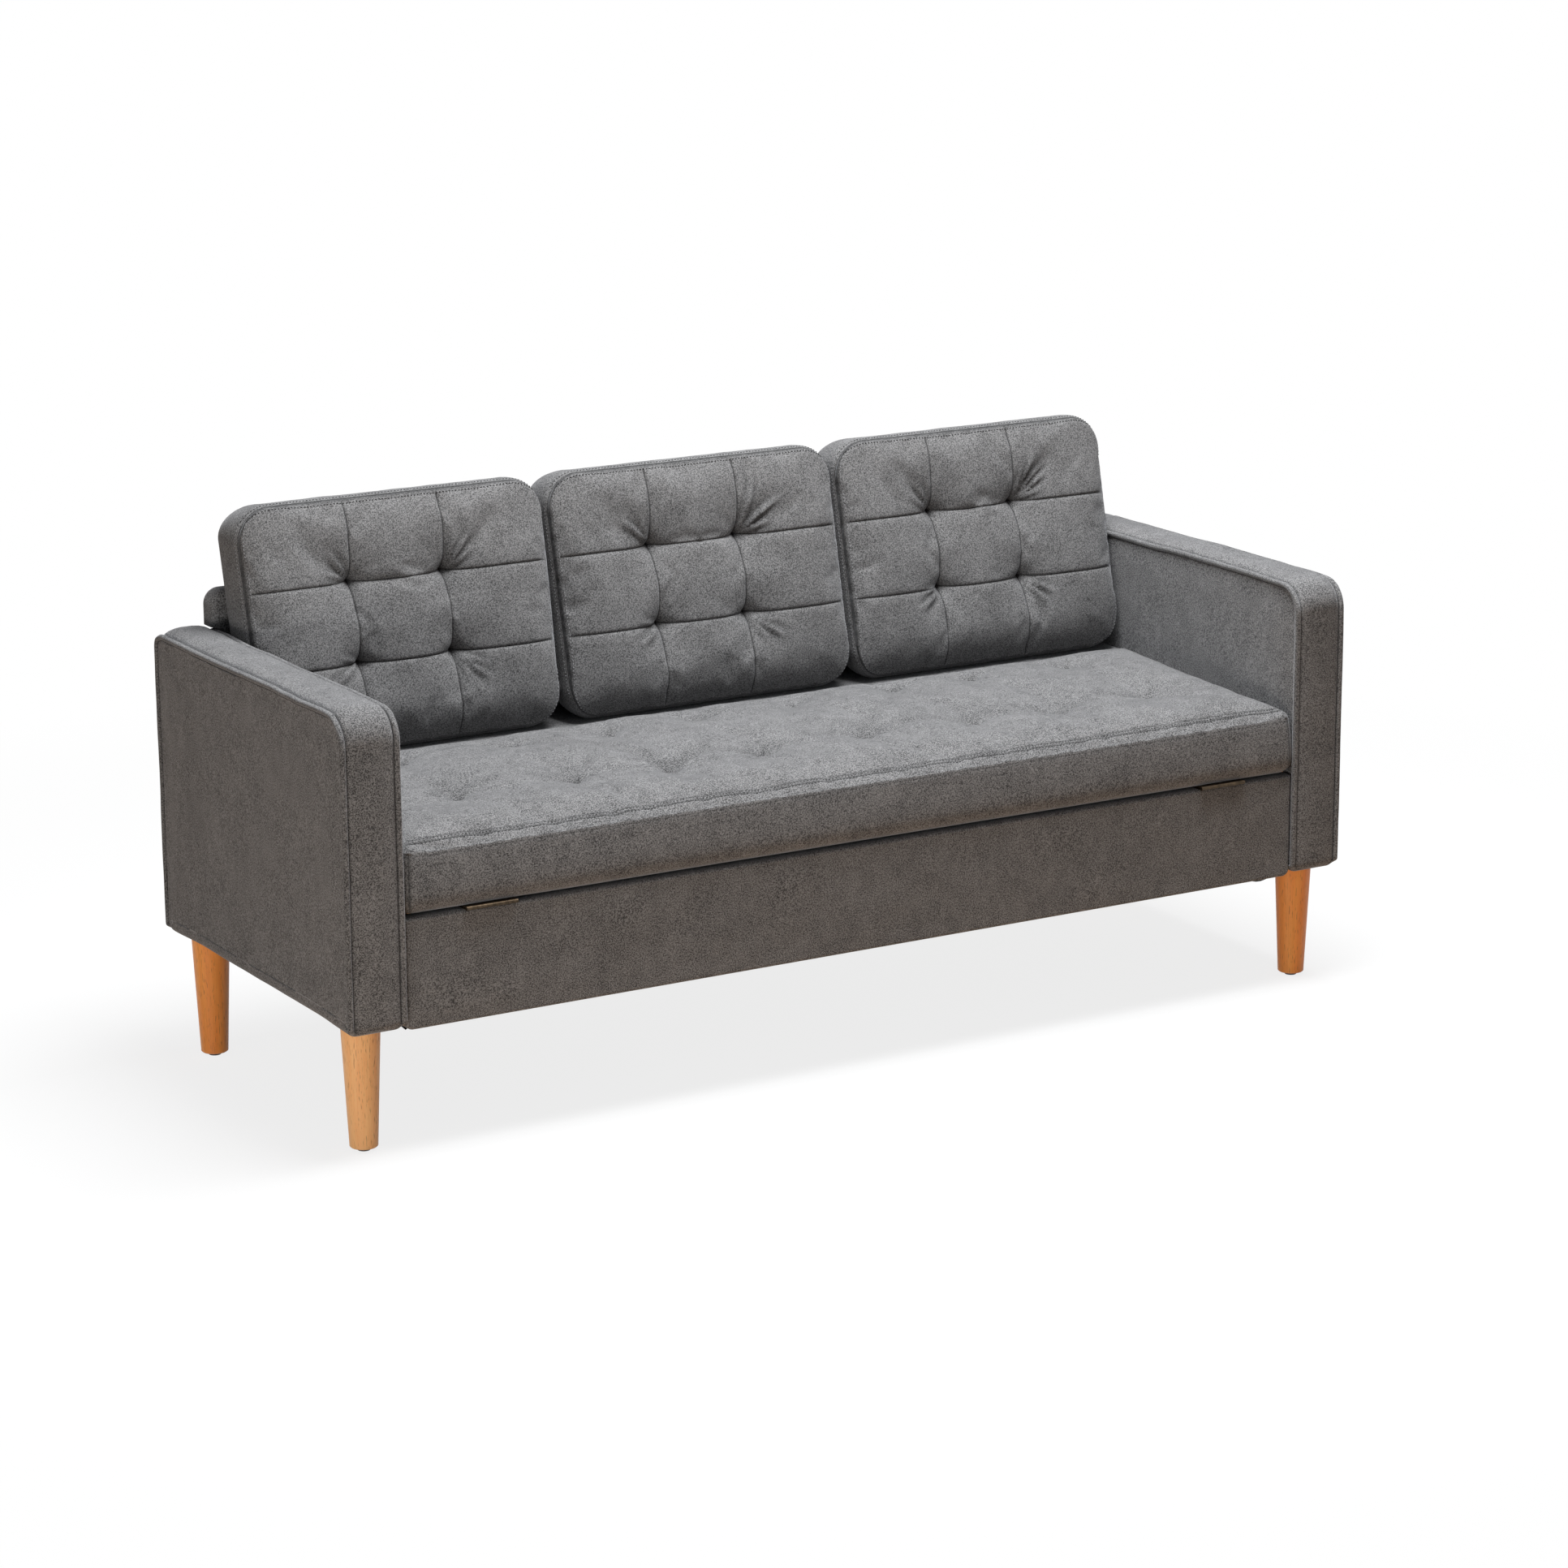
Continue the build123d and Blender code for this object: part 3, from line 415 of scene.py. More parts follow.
# ==== Materials ===============================================================
class Nodes:
    """Short calls for building one material's node tree."""

    def __init__(self, name):
        self.material = bpy.data.materials.new(name)
        self.material.use_nodes = True
        self.tree = self.material.node_tree
        self.shader = self.tree.nodes["Principled BSDF"]

    def add(self, kind, inputs=(), **settings):
        node = self.tree.nodes.new(kind)
        for key, value in settings.items():
            setattr(node, key, value)
        for key, value in dict(inputs).items():
            self.set(node, key, value)
        return node

    def set(self, node, key, value):
        socket = node.inputs[key]
        if isinstance(value, bpy.types.NodeSocket):
            self.tree.links.new(value, socket)
        else:
            socket.default_value = value

    def place(self, kind="Object"):
        return self.add("ShaderNodeTexCoord").outputs[kind]

    def stretched(self, *scale):
        return self.add("ShaderNodeMapping", {"Vector": self.place(), "Scale": scale}).outputs["Vector"]

    def noise(self, scale, detail=2.0, rough=0.5, where=None, distortion=0.0):
        inputs = {"Vector": self.place() if where is None else where, "Scale": scale,
                  "Detail": detail, "Roughness": rough, "Distortion": distortion}
        return self.add("ShaderNodeTexNoise", inputs).outputs["Fac"]

    def ramp(self, value, low, high, out_low=0.0, out_high=1.0):
        inputs = {"Value": value, "From Min": low, "From Max": high, "To Min": out_low, "To Max": out_high}
        return self.add("ShaderNodeMapRange", inputs).outputs["Result"]

    def spread(self, noise, out_low=0.0, out_high=1.0):
        """A noise that seldom leaves 0.3 to 0.7, brought to a range of its own."""
        return self.ramp(noise, 0.3, 0.7, out_low, out_high)

    def math(self, operation, a, b=0.0, clamp=False):
        node = self.add("ShaderNodeMath", {0: a, 1: b}, operation=operation, use_clamp=clamp)
        return node.outputs[0]

    def mix(self, share, a, b):
        return self.add("ShaderNodeMix", {"Factor": share, 6: a, 7: b}, data_type="RGBA").outputs[2]

    def bump(self, height, strength, distance):
        inputs = {"Height": height, "Strength": strength, "Distance": distance}
        return self.add("ShaderNodeBump", inputs).outputs["Normal"]

    def finish(self, **inputs):
        for key, value in inputs.items():
            self.set(self.shader, key.replace("_", " "), value)
        return self.material


def grey(level):
    return (level, level, level, 1.0)


def tinted(colour, level):
    """A colour made darker or lighter by a factor."""
    return [c * level for c in colour[:3]] + [1]


PILE_DARK, PILE_LIGHT = (0.034, 0.034, 0.035), (0.292, 0.290, 0.292)
PLY = 4.2 * MM                     # two veneers of a plywood edge, one pale and one dark


def velour(name, crush, grain, depth, sheen):
    """Brushed velour: fine speckled pile, and cloudy patches where it is crushed."""
    n = Nodes(name)
    pile = n.noise(1050, 1.0)
    patch = n.noise(46, 3.0, 0.6, n.stretched(1.0, 1.0, 0.7))
    cloud = n.noise(13, 4.0, 0.6, distortion=0.3)
    tone = 0.0
    layers = ((n.noise(560, 0.0), grain), (pile, 0.8 * grain), (patch, crush), (cloud, 0.8 * crush))
    for noise, amount in layers:
        tone = n.math("ADD", tone, n.spread(noise, -amount, amount))
    share = n.math("ADD", n.math("MULTIPLY", tone, 0.5), 0.5, clamp=True)
    colour = n.mix(share, tinted(PILE_DARK, depth), tinted(PILE_LIGHT, depth))
    # the point attribute that each piece carries darkens the colour towards black: painted shade in seams,
    # creases, tufts and hollows
    painted_shade = n.add("ShaderNodeAttribute", attribute_name="painted_shade").outputs["Fac"]
    return n.finish(Base_Color=n.mix(painted_shade, colour, grey(0.008)), Normal=n.bump(pile, 0.08, 0.3 * MM),
                    Sheen_Weight=sheen, Sheen_Roughness=0.42, Sheen_Tint=(0.88, 0.90, 0.94, 1),
                    Specular_IOR_Level=0.10, Roughness=0.92)


def thread(name, colour):
    """Twisted sewing thread."""
    n = Nodes(name)
    fibre = n.noise(2600, 1.0)
    return n.finish(Base_Color=n.mix(n.spread(fibre), tinted(colour, 0.72), colour), Roughness=0.8,
                    Specular_IOR_Level=0.15, Normal=n.bump(fibre, 0.4, 0.1 * MM))


def beech(name, pale):
    """Oiled beech: long faint growth bands, short dark flecks and a satin skin; pale lightens it, as painted
    light.
    """
    n = Nodes(name)

    def shade(red, green, blue, more_red, more_green, more_blue):
        return (red + more_red * pale, green + more_green * pale, blue + more_blue * pale, 1)

    band = n.noise(46, 3.0, 0.6, n.stretched(1.0, 1.0, 0.05), 0.6)
    fibre = n.noise(420, 2.0, 0.6, n.stretched(1.0, 1.0, 0.03))
    fleck = n.noise(700, 1.0, 0.5, n.stretched(1.0, 1.0, 0.10))
    warm = n.noise(9, 2.0, 0.5, n.stretched(1.0, 1.0, 0.3))
    colour = n.mix(n.ramp(band, 0.32, 0.68), shade(0.92, 0.265, 0.034, 0, 0.15, 0.11),
                   shade(1.0, 0.410, 0.080, 0, 0.16, 0.15))
    colour = n.mix(n.ramp(fibre, 0.35, 0.75, 0.0, 0.5), colour, shade(0.70, 0.200, 0.026, 0.15, 0.11, 0.06))
    colour = n.mix(n.ramp(fleck, 0.60, 0.72, 0.0, 0.65), colour, (0.28, 0.085, 0.018, 1))
    colour = n.mix(n.spread(warm, 0.0, 0.3), colour, shade(1.0, 0.38, 0.08, 0, 0.16, 0.14))
    return n.finish(Base_Color=colour, Roughness=n.spread(fibre, 0.42, 0.56), Coat_Weight=0.12,
                    Coat_Roughness=0.32, Normal=n.bump(fibre, 0.18, 0.15 * MM))


def sawn(name, pale, dark, along, plies=None):
    """Bare timber with its grain along an axis; plies is the axis that its veneers are stacked along."""
    n = Nodes(name)
    long = [1.0, 1.0, 1.0]
    long[along] = 0.045
    grain = n.noise(55, 4.0, 0.6, n.stretched(*long), 1.2)
    fibre = n.noise(520, 2.0, 0.6, n.stretched(*long))
    colour = n.mix(n.ramp(grain, 0.34, 0.66), pale, dark)
    colour = n.mix(n.ramp(fibre, 0.45, 0.8, 0.0, 0.5), colour, tinted(dark, 0.62))
    if plies is not None:
        place, facing = [n.add("ShaderNodeSeparateXYZ", {"Vector": n.place(kind)}).outputs["XYZ"[plies]]
                         for kind in ("Object", "Normal")]
        layer = n.ramp(n.math("FRACT", n.math("MULTIPLY", place, 1 / PLY)), 0.42, 0.58)
        edge = n.ramp(n.math("ABSOLUTE", facing), 0.8, 0.6)
        stripe = n.mix(layer, tinted(dark, 0.45), tinted(pale, 1.08))
        colour = n.mix(edge, colour, n.mix(n.spread(fibre, 0, 0.35), stripe, dark))
    return n.finish(Base_Color=colour, Roughness=n.spread(fibre, 0.68, 0.84),
                    Normal=n.bump(fibre, 0.3, 0.25 * MM))


def metal(name, bright, dull, rough):
    """Plated metal, brushed and a little tarnished."""
    n = Nodes(name)
    brushed = n.noise(900, 2.0, 0.6, n.stretched(0.06, 1.0, 1.0))
    stain = n.noise(130, 3.0, 0.6)
    return n.finish(Base_Color=n.mix(n.ramp(stain, 0.36, 0.64), bright, dull), Metallic=1.0,
                    Roughness=n.spread(brushed, rough - 0.07, rough + 0.10),
                    Normal=n.bump(brushed, 0.15, 0.05 * MM))


def plastic():
    """Moulded black plastic with a fine spark texture."""
    n = Nodes("plastic")
    grain = n.noise(1400, 2.0, 0.6)
    colour = n.mix(n.spread(grain), (0.012, 0.012, 0.013, 1), (0.026, 0.026, 0.027, 1))
    return n.finish(Base_Color=colour, Roughness=n.spread(grain, 0.42, 0.6),
                    Normal=n.bump(grain, 0.4, 0.1 * MM))


def spunbond():
    """Thin black non-woven cloth: matted fibres and a grid of small bonded dots."""
    n = Nodes("spunbond")
    fibre = n.noise(900, 4.0, 0.8, distortion=2.0)
    dots = n.add("ShaderNodeTexVoronoi", {"Vector": n.place(), "Scale": 420.0, "Randomness": 0.15})
    spot = n.ramp(dots.outputs["Distance"], 0.18, 0.34)
    colour = n.mix(n.spread(fibre), (0.010, 0.010, 0.011, 1), (0.045, 0.045, 0.047, 1))
    return n.finish(Base_Color=n.mix(spot, grey(0.008), colour), Specular_IOR_Level=0.25,
                    Roughness=n.spread(fibre, 0.7, 0.95), Normal=n.bump(spot, 0.3, 0.15 * MM))


# depth scales the pile's colours; the cushions' copy of the same velour is darker than the frame's, as
# painted shade
velour_smooth = velour("velour_smooth", crush=0.12, grain=0.58, depth=0.92, sheen=0.20)
velour_crushed = velour("velour_crushed", crush=0.17, grain=0.70, depth=0.95, sheen=0.42)
pale_thread = thread("pale_thread", (0.32, 0.32, 0.33, 1))
dark_thread = thread("dark_thread", (0.030, 0.029, 0.029, 1))
black_cloth = spunbond()

BIRCH, BIRCH_DARK = (0.62, 0.44, 0.27, 1), (0.44, 0.28, 0.15, 1)
PINE, PINE_DARK = (0.66, 0.46, 0.26, 1), (0.46, 0.27, 0.12, 1)
board = {axis: sawn(f"plywood_{'xyz'[axis]}", BIRCH, BIRCH_DARK, 1 if axis == 0 else 0, axis)
         for axis in (0, 1, 2)}
pine = {axis: sawn(f"pine_{'xyz'[axis]}", PINE, PINE_DARK, axis) for axis in (0, 1)}
brass = metal("dull_brass", (0.095, 0.068, 0.044, 1), (0.045, 0.033, 0.022, 1), rough=0.50)
zinc = metal("zinc_plate", (0.68, 0.69, 0.70, 1), (0.50, 0.51, 0.53, 1), rough=0.34)
carried_over = {
    beech("beech", pale=0.0): ["rear_left_leg", "front_right_leg", "rear_right_leg"],
    # the front left leg gets a lighter copy of the same beech: painted light on the leg that stands most in
    # the light
    beech("painted_light_beech", pale=1.25): ["front_left_leg"],
    board[2]: ["seat_board", "deck_board", "bottom_board"],
    board[1]: ["front_panel_board", "box_rear_board", "back_panel"],
    board[0]: ["left_arm_inner_panel", "left_arm_outer_panel", "right_arm_inner_panel",
               "right_arm_outer_panel", "left_box_end", "right_box_end"],
    pine[0]: ["bottom_battens", "deck_rail", "back_frame"],
    pine[1]: ["left_arm_frame", "right_arm_frame", "bottom_slats"],
    brass: ["hinge_fixed_leaves", "hinge_seat_leaves", "hinge_pins"],
    zinc: ["leg_hanger_bolts", "leg_plates", "leg_plate_screws", "box_screws", "arm_bolts", "back_bolts",
           "bolt_washers", "tee_nuts", "deck_screws", "hinge_box_screws", "hinge_seat_screws"],
    plastic(): ["leg_glides"],
}
for material, names in carried_over.items():
    for name in names:
        for slot in nodes[name].material_slots:
            slot.material = material


# ==== Arms ====================================================================
ARM_CORNERS = (16 * MM, 16 * MM, 45 * MM, 22 * MM)   # front foot, rear foot, front top, rear top
ARM_STEP = 9 * MM
ARM_ROLL = 15 * MM                                    # the rolled lower edge
ARM_CROWN = 6 * MM                                    # of the padded top above its seams
ARM_LIFT = 4 * MM                                     # how far it draws up between the legs
ARM_BORDER = 10 * MM                                  # from the outline in to a side panel
# one raised seam from a side panel on: distance in from the side, in from the outline, and painted crease
# shade
ARM_SEAM = ((3.2, 10.0, 0), (3.6, 8.6, 0.6), (3.0, 7.4, 0.35), (1.0, 6.2, 0.1), (0.1, 4.6, 0.14),
            (0.0, 3.0, 0.16), (0.4, 1.4, 0.16), (1.6, 0.3, 0.1), (3.2, -0.2, 0), (5.0, -0.3, 0),
            (6.8, 0.2, 0), (8.0, 1.2, 0.1), (8.7, 2.6, 0.55), (9.4, 3.3, 0.7), (10.6, 2.4, 0.2),
            (13.0, 1.2, 0), (18.0, 0.0, 0), (27.0, -1.2, 0), (37.0, -1.7, 0))
ARM_SEAM_ROWS = 14                                    # the padded strip starts after these
ARM_SEAM_WIDTH = 9.4 * MM
ARM_STITCH_ROWS = (1, 13)                             # the grooves on both sides of the seam
ARM_STITCH = (4.8 * MM, 3.1 * MM, 0.45 * MM)          # pitch, length, radius
# the same rows where they run along the rolled lower edge
ARM_FOOT = [(1.2, 22.0), (1.2, 19.0), (1.2, 17.0)]
ARM_FOOT += [(1.2 + ARM_ROLL / MM * (1 - math.cos(turn)), ARM_ROLL / MM * (1 - math.sin(turn)))
             for turn in np.linspace(0, math.pi / 2, 11)]
ARM_FOOT += [(inward, 0.0) for inward in (19.0, 23.0, 27.0, 32.0, 38.0)]


def arm(side):
    """A padded arm: two flat panels, a strip round the edge and a raised seam at each."""
    name = "right" if side > 0 else "left"
    width = arm_high.x - arm_low.x
    low, high = (arm_low.y, arm_low.z), (arm_high.y, arm_high.z)
    outline = Panel.ruled(low, high, ARM_CORNERS, (ARM_STEP, ARM_STEP))
    upper = np.array(ARM_SEAM)[:, :2] * MM
    lower = np.array(ARM_FOOT) * MM
    outer_x = side * (arm_low.x + arm_high.x) / 2 + side * width / 2
    out = outline.outward()
    ring = outline.ring(0)
    under = smooth(0.25, 0.85, -out[:, 1])
    over = np.clip(out[:, 1], 0, 1)
    mid_way = np.sin(math.pi * np.clip((ring[:, 0] - low[0]) / (high[0] - low[0]), 0, 1))
    lift = ARM_LIFT * under * smooth(0, 0.6, mid_way)
    rear = smooth(0.5, 0.95, out[:, 0])
    front_in = 3 * MM if side > 0 else 0      # the right arm narrows towards its front

    def row(k, mirrored):
        """One row of points round the arm, from either side face."""
        a = upper[k, 0] * (1 - under) + lower[k, 0] * under
        b = upper[k, 1] * (1 - under) + lower[k, 1] * under
        b = b - ARM_CROWN * quarter((upper[k, 0] - ARM_SEAM_WIDTH) / (30 * MM)) * over
        spot = sideways(ring, 0.3 * side + (0.06 if mirrored else 0))
        sag = uneven(spot, 0.085, 21, 1) * 2.4 * MM + uneven(spot, 0.030, 25, 1) * 0.5 * MM
        sag = sag * (0.25 + 0.75 * over) + 0.6 * MM * over
        wobble = uneven(spot, 0.05, 31) * 0.5 * MM + front_in * smooth(low[0] + 90 * MM, low[0], ring[:, 0])
        proud = 2.6 * MM * rear * smooth(16 * MM, 2 * MM, upper[k, 0]) if k < ARM_SEAM_ROWS else 0
        flat = outline.grid()[outline.loop()] - out * (b + sag - proud)[:, None]
        flat[:, 1] += lift
        return sideways(flat, outer_x - side * ((width - a if mirrored else a) + wobble))

    def face(seed, mirrored):
        """A side panel's grid, puffed a little between its seams; its border follows the first row."""
        flat = outline.grid(ARM_BORDER)
        z = flat[..., 1]
        edge = outline.depth(flat) - ARM_BORDER
        spot = sideways(flat, 0)
        wave = uneven(spot, 0.13, seed) * 1.1 * MM + uneven(spot, 0.04, seed + 7) * 0.3 * MM
        foot = smooth(low[1] + 75 * MM, low[1] + 25 * MM, z)
        wave = wave * smooth(0, 30 * MM, edge)
        drop = (1.2 + 2.0 * (1 - smooth(0, 40 * MM, edge)) * (1 - foot)) * MM - wave
        first = row(0, mirrored)
        grid = sideways(flat, outer_x - side * (width - drop if mirrored else drop))
        grid[..., 2] += (first[:len(z[0]), 2] - z[0]) * (1 - smooth(low[1], low[1] + 90 * MM, z))
        grid[outline.loop()] = first
        return grid

    front, back = face(11 if side > 0 else 12, False), face(13 if side > 0 else 14, True)
    order = [(k, False) for k in range(1, len(ARM_SEAM))]
    order += [(k, True) for k, mirrored in order[::-1]]
    rings = [row(k, mirrored) for k, mirrored in order]
    # painted shade along the raised seams, fading out under the arm
    tones = [ARM_SEAM[k][2] * (1 - under) for k, mirrored in order]
    points, faces = boxed(front, rings, back, flip=side > 0)
    plain = np.zeros(front[..., 0].size)
    tone = np.concatenate([plain, *tones, plain])
    cover = piece(f"{name}_arm_upholstery", points, faces, velour_crushed, "sofa", tone)
    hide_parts(f"{name}_arm_cover")

    # stitches along the groove inside each raised seam, except under the arm
    kept = np.flatnonzero(under < 0.3)
    start = kept[np.argmax(np.diff(np.concatenate([kept, [kept[0] + len(ring)]]))) + 1 - len(kept)]
    sewn_part = (start + np.arange(len(kept))) % len(ring)
    from_outline = sideways(out, 0)[sewn_part]
    runs = []
    for mirrored in (False, True):
        from_side = sideways(0 * out, -side if mirrored else side)[sewn_part]
        for k, normals in zip(ARM_STITCH_ROWS, (from_side, from_outline)):
            runs.append(stitches(row(k, mirrored)[sewn_part], normals, *ARM_STITCH))
    sewn(f"{name}_arm_topstitch", runs, dark_thread, "sofa")


for side in (-1, 1):
    arm(side)


# ==== Tufts and folds =========================================================
def from_spot(flat, spot):
    """Distances of points in a plane from one spot."""
    return np.linalg.norm(flat - np.array(spot), axis=-1)


def from_tufts(flat, tufts):
    """Distances of points in a plane from the nearest tuft."""
    return np.min([from_spot(flat, tuft) for tuft in tufts], axis=0)


def dimpled(height, flat, tufts, depth, width):
    """A height with a round hollow at every tuft."""
    for tuft in tufts:
        height = height - depth * bump(from_spot(flat, tuft), width)
    return height


def puffed(sheet, coarse, fine, tufts, jitter, pressure, slack, limit):
    """A fine sheet that moves as a coarse one does when it is inflated between border and tufts.

    jitter is the size, the seed and the way of the small waves that the cloth starts with.
    """
    start = sheet(coarse)
    held = np.zeros(coarse.shape, bool)
    held[coarse.loop()] = True
    for tuft in tufts:
        held[np.unravel_index(np.argmin(from_spot(coarse.grid(), tuft)), held.shape)] = True
    size, seed, way = jitter
    start = start + uneven(start, size, seed)[..., None] * np.array(way)
    return sheet(fine) + carried(capped(inflated(start, held, pressure, slack), limit), coarse, fine)


def fans(flat, tufts, folds):
    """Folds that run out of tufts: (tuft, angle, length, width, height) each, in mm and degrees."""
    total = np.zeros(flat.shape[:2])
    for number, angle, length, width, height in folds:
        away = flat - np.array(tufts[number])
        turn = math.radians(angle)
        along = (away[..., 0] * math.cos(turn) + away[..., 1] * math.sin(turn)) / MM
        across = (away[..., 1] * math.cos(turn) - away[..., 0] * math.sin(turn)) / MM
        across = across + 0.0022 * along * along * math.sin(number * 2.1 + angle)
        reach = smooth(4, 16, along) * (1 - smooth(0.45 * length, length, along))
        spread = width * (0.55 + 0.9 * np.clip(along / length, 0, 1))
        total += 2.0 * height * MM * reach * (bump(across, spread)
                                              - 0.6 * bump(np.abs(across) - 1.7 * spread, spread))
    return total


# ==== Back cushions ===========================================================
CUSHION_SEAM_RISE = 7 * MM         # the front seam above the cushion's foot
CUSHION_SIDE_PUFF = 5 * MM
CUSHION_TOP_PUFF = 5 * MM
CUSHION_WRAP = 7 * MM              # how far the front turns back to its seam
CUSHION_TOP_WRAP = 6 * MM
CUSHION_TOP_SLOPE = 14 * MM        # how much lower the top is at its rear seam
CUSHION_REAR_IN = 5 * MM           # how much further forward the rear seam is at the top
CUSHION_CROWN = 9 * MM
CUSHION_COARSE_STEP = 8 * MM
CUSHION_STEP = 4.2 * MM
TUFT_DEPTH = 15 * MM
CUSHION_SEAMS_X = (-80 * MM, 72 * MM)
CUSHION_SEAMS_Z = (584 * MM, 700 * MM)
CUSHION_SEAM_SHIFT = {"left": 0, "middle": -3 * MM, "right": -3 * MM}
# the boxing from the front seam to the rear one: share of the way, share of the puff, painted shade at the
# seams
CUSHION_BOXING = ((0.0, -0.25, 0.95), (0.015, 0.04, 0.6), (0.04, 0.20, 0), (0.09, 0.42, 0), (0.18, 0.72, 0),
                  (0.28, 0.89, 0), (0.4, 0.98, 0), (0.5, 1.0, 0), (0.6, 0.98, 0), (0.72, 0.87, 0),
                  (0.82, 0.70, 0), (0.90, 0.48, 0), (0.95, 0.28, 0), (0.984, 0.10, 0.3), (1.0, -0.05, 0.75))
CUSHION_STITCH_RING = 3            # the ring of the boxing that carries stitches
CUSHION_SIDE_STITCH = (5.4 * MM, 3.0 * MM, 0.6 * MM)         # pitch, length, radius
CUSHION_TOP_STITCH = (5.2 * MM, 3.6 * MM, 0.8 * MM)

cushion_half = (cushion_high.x - cushion_low.x) / 2


def cushion_face(z):
    """Y of a cushion's front at a height, as it leans on the back, and how far its foot draws back."""
    line = back_low.y - SOFT_GAP - CUSHION_REAR_CROWN - CUSHION_GUSSET + (z - back_high.z) * CUSHION_LEAN
    return line, FOOT_DRAW * (1 - quarter((z - cushion_low.z + 3 * MM) / FOOT_ROUND))


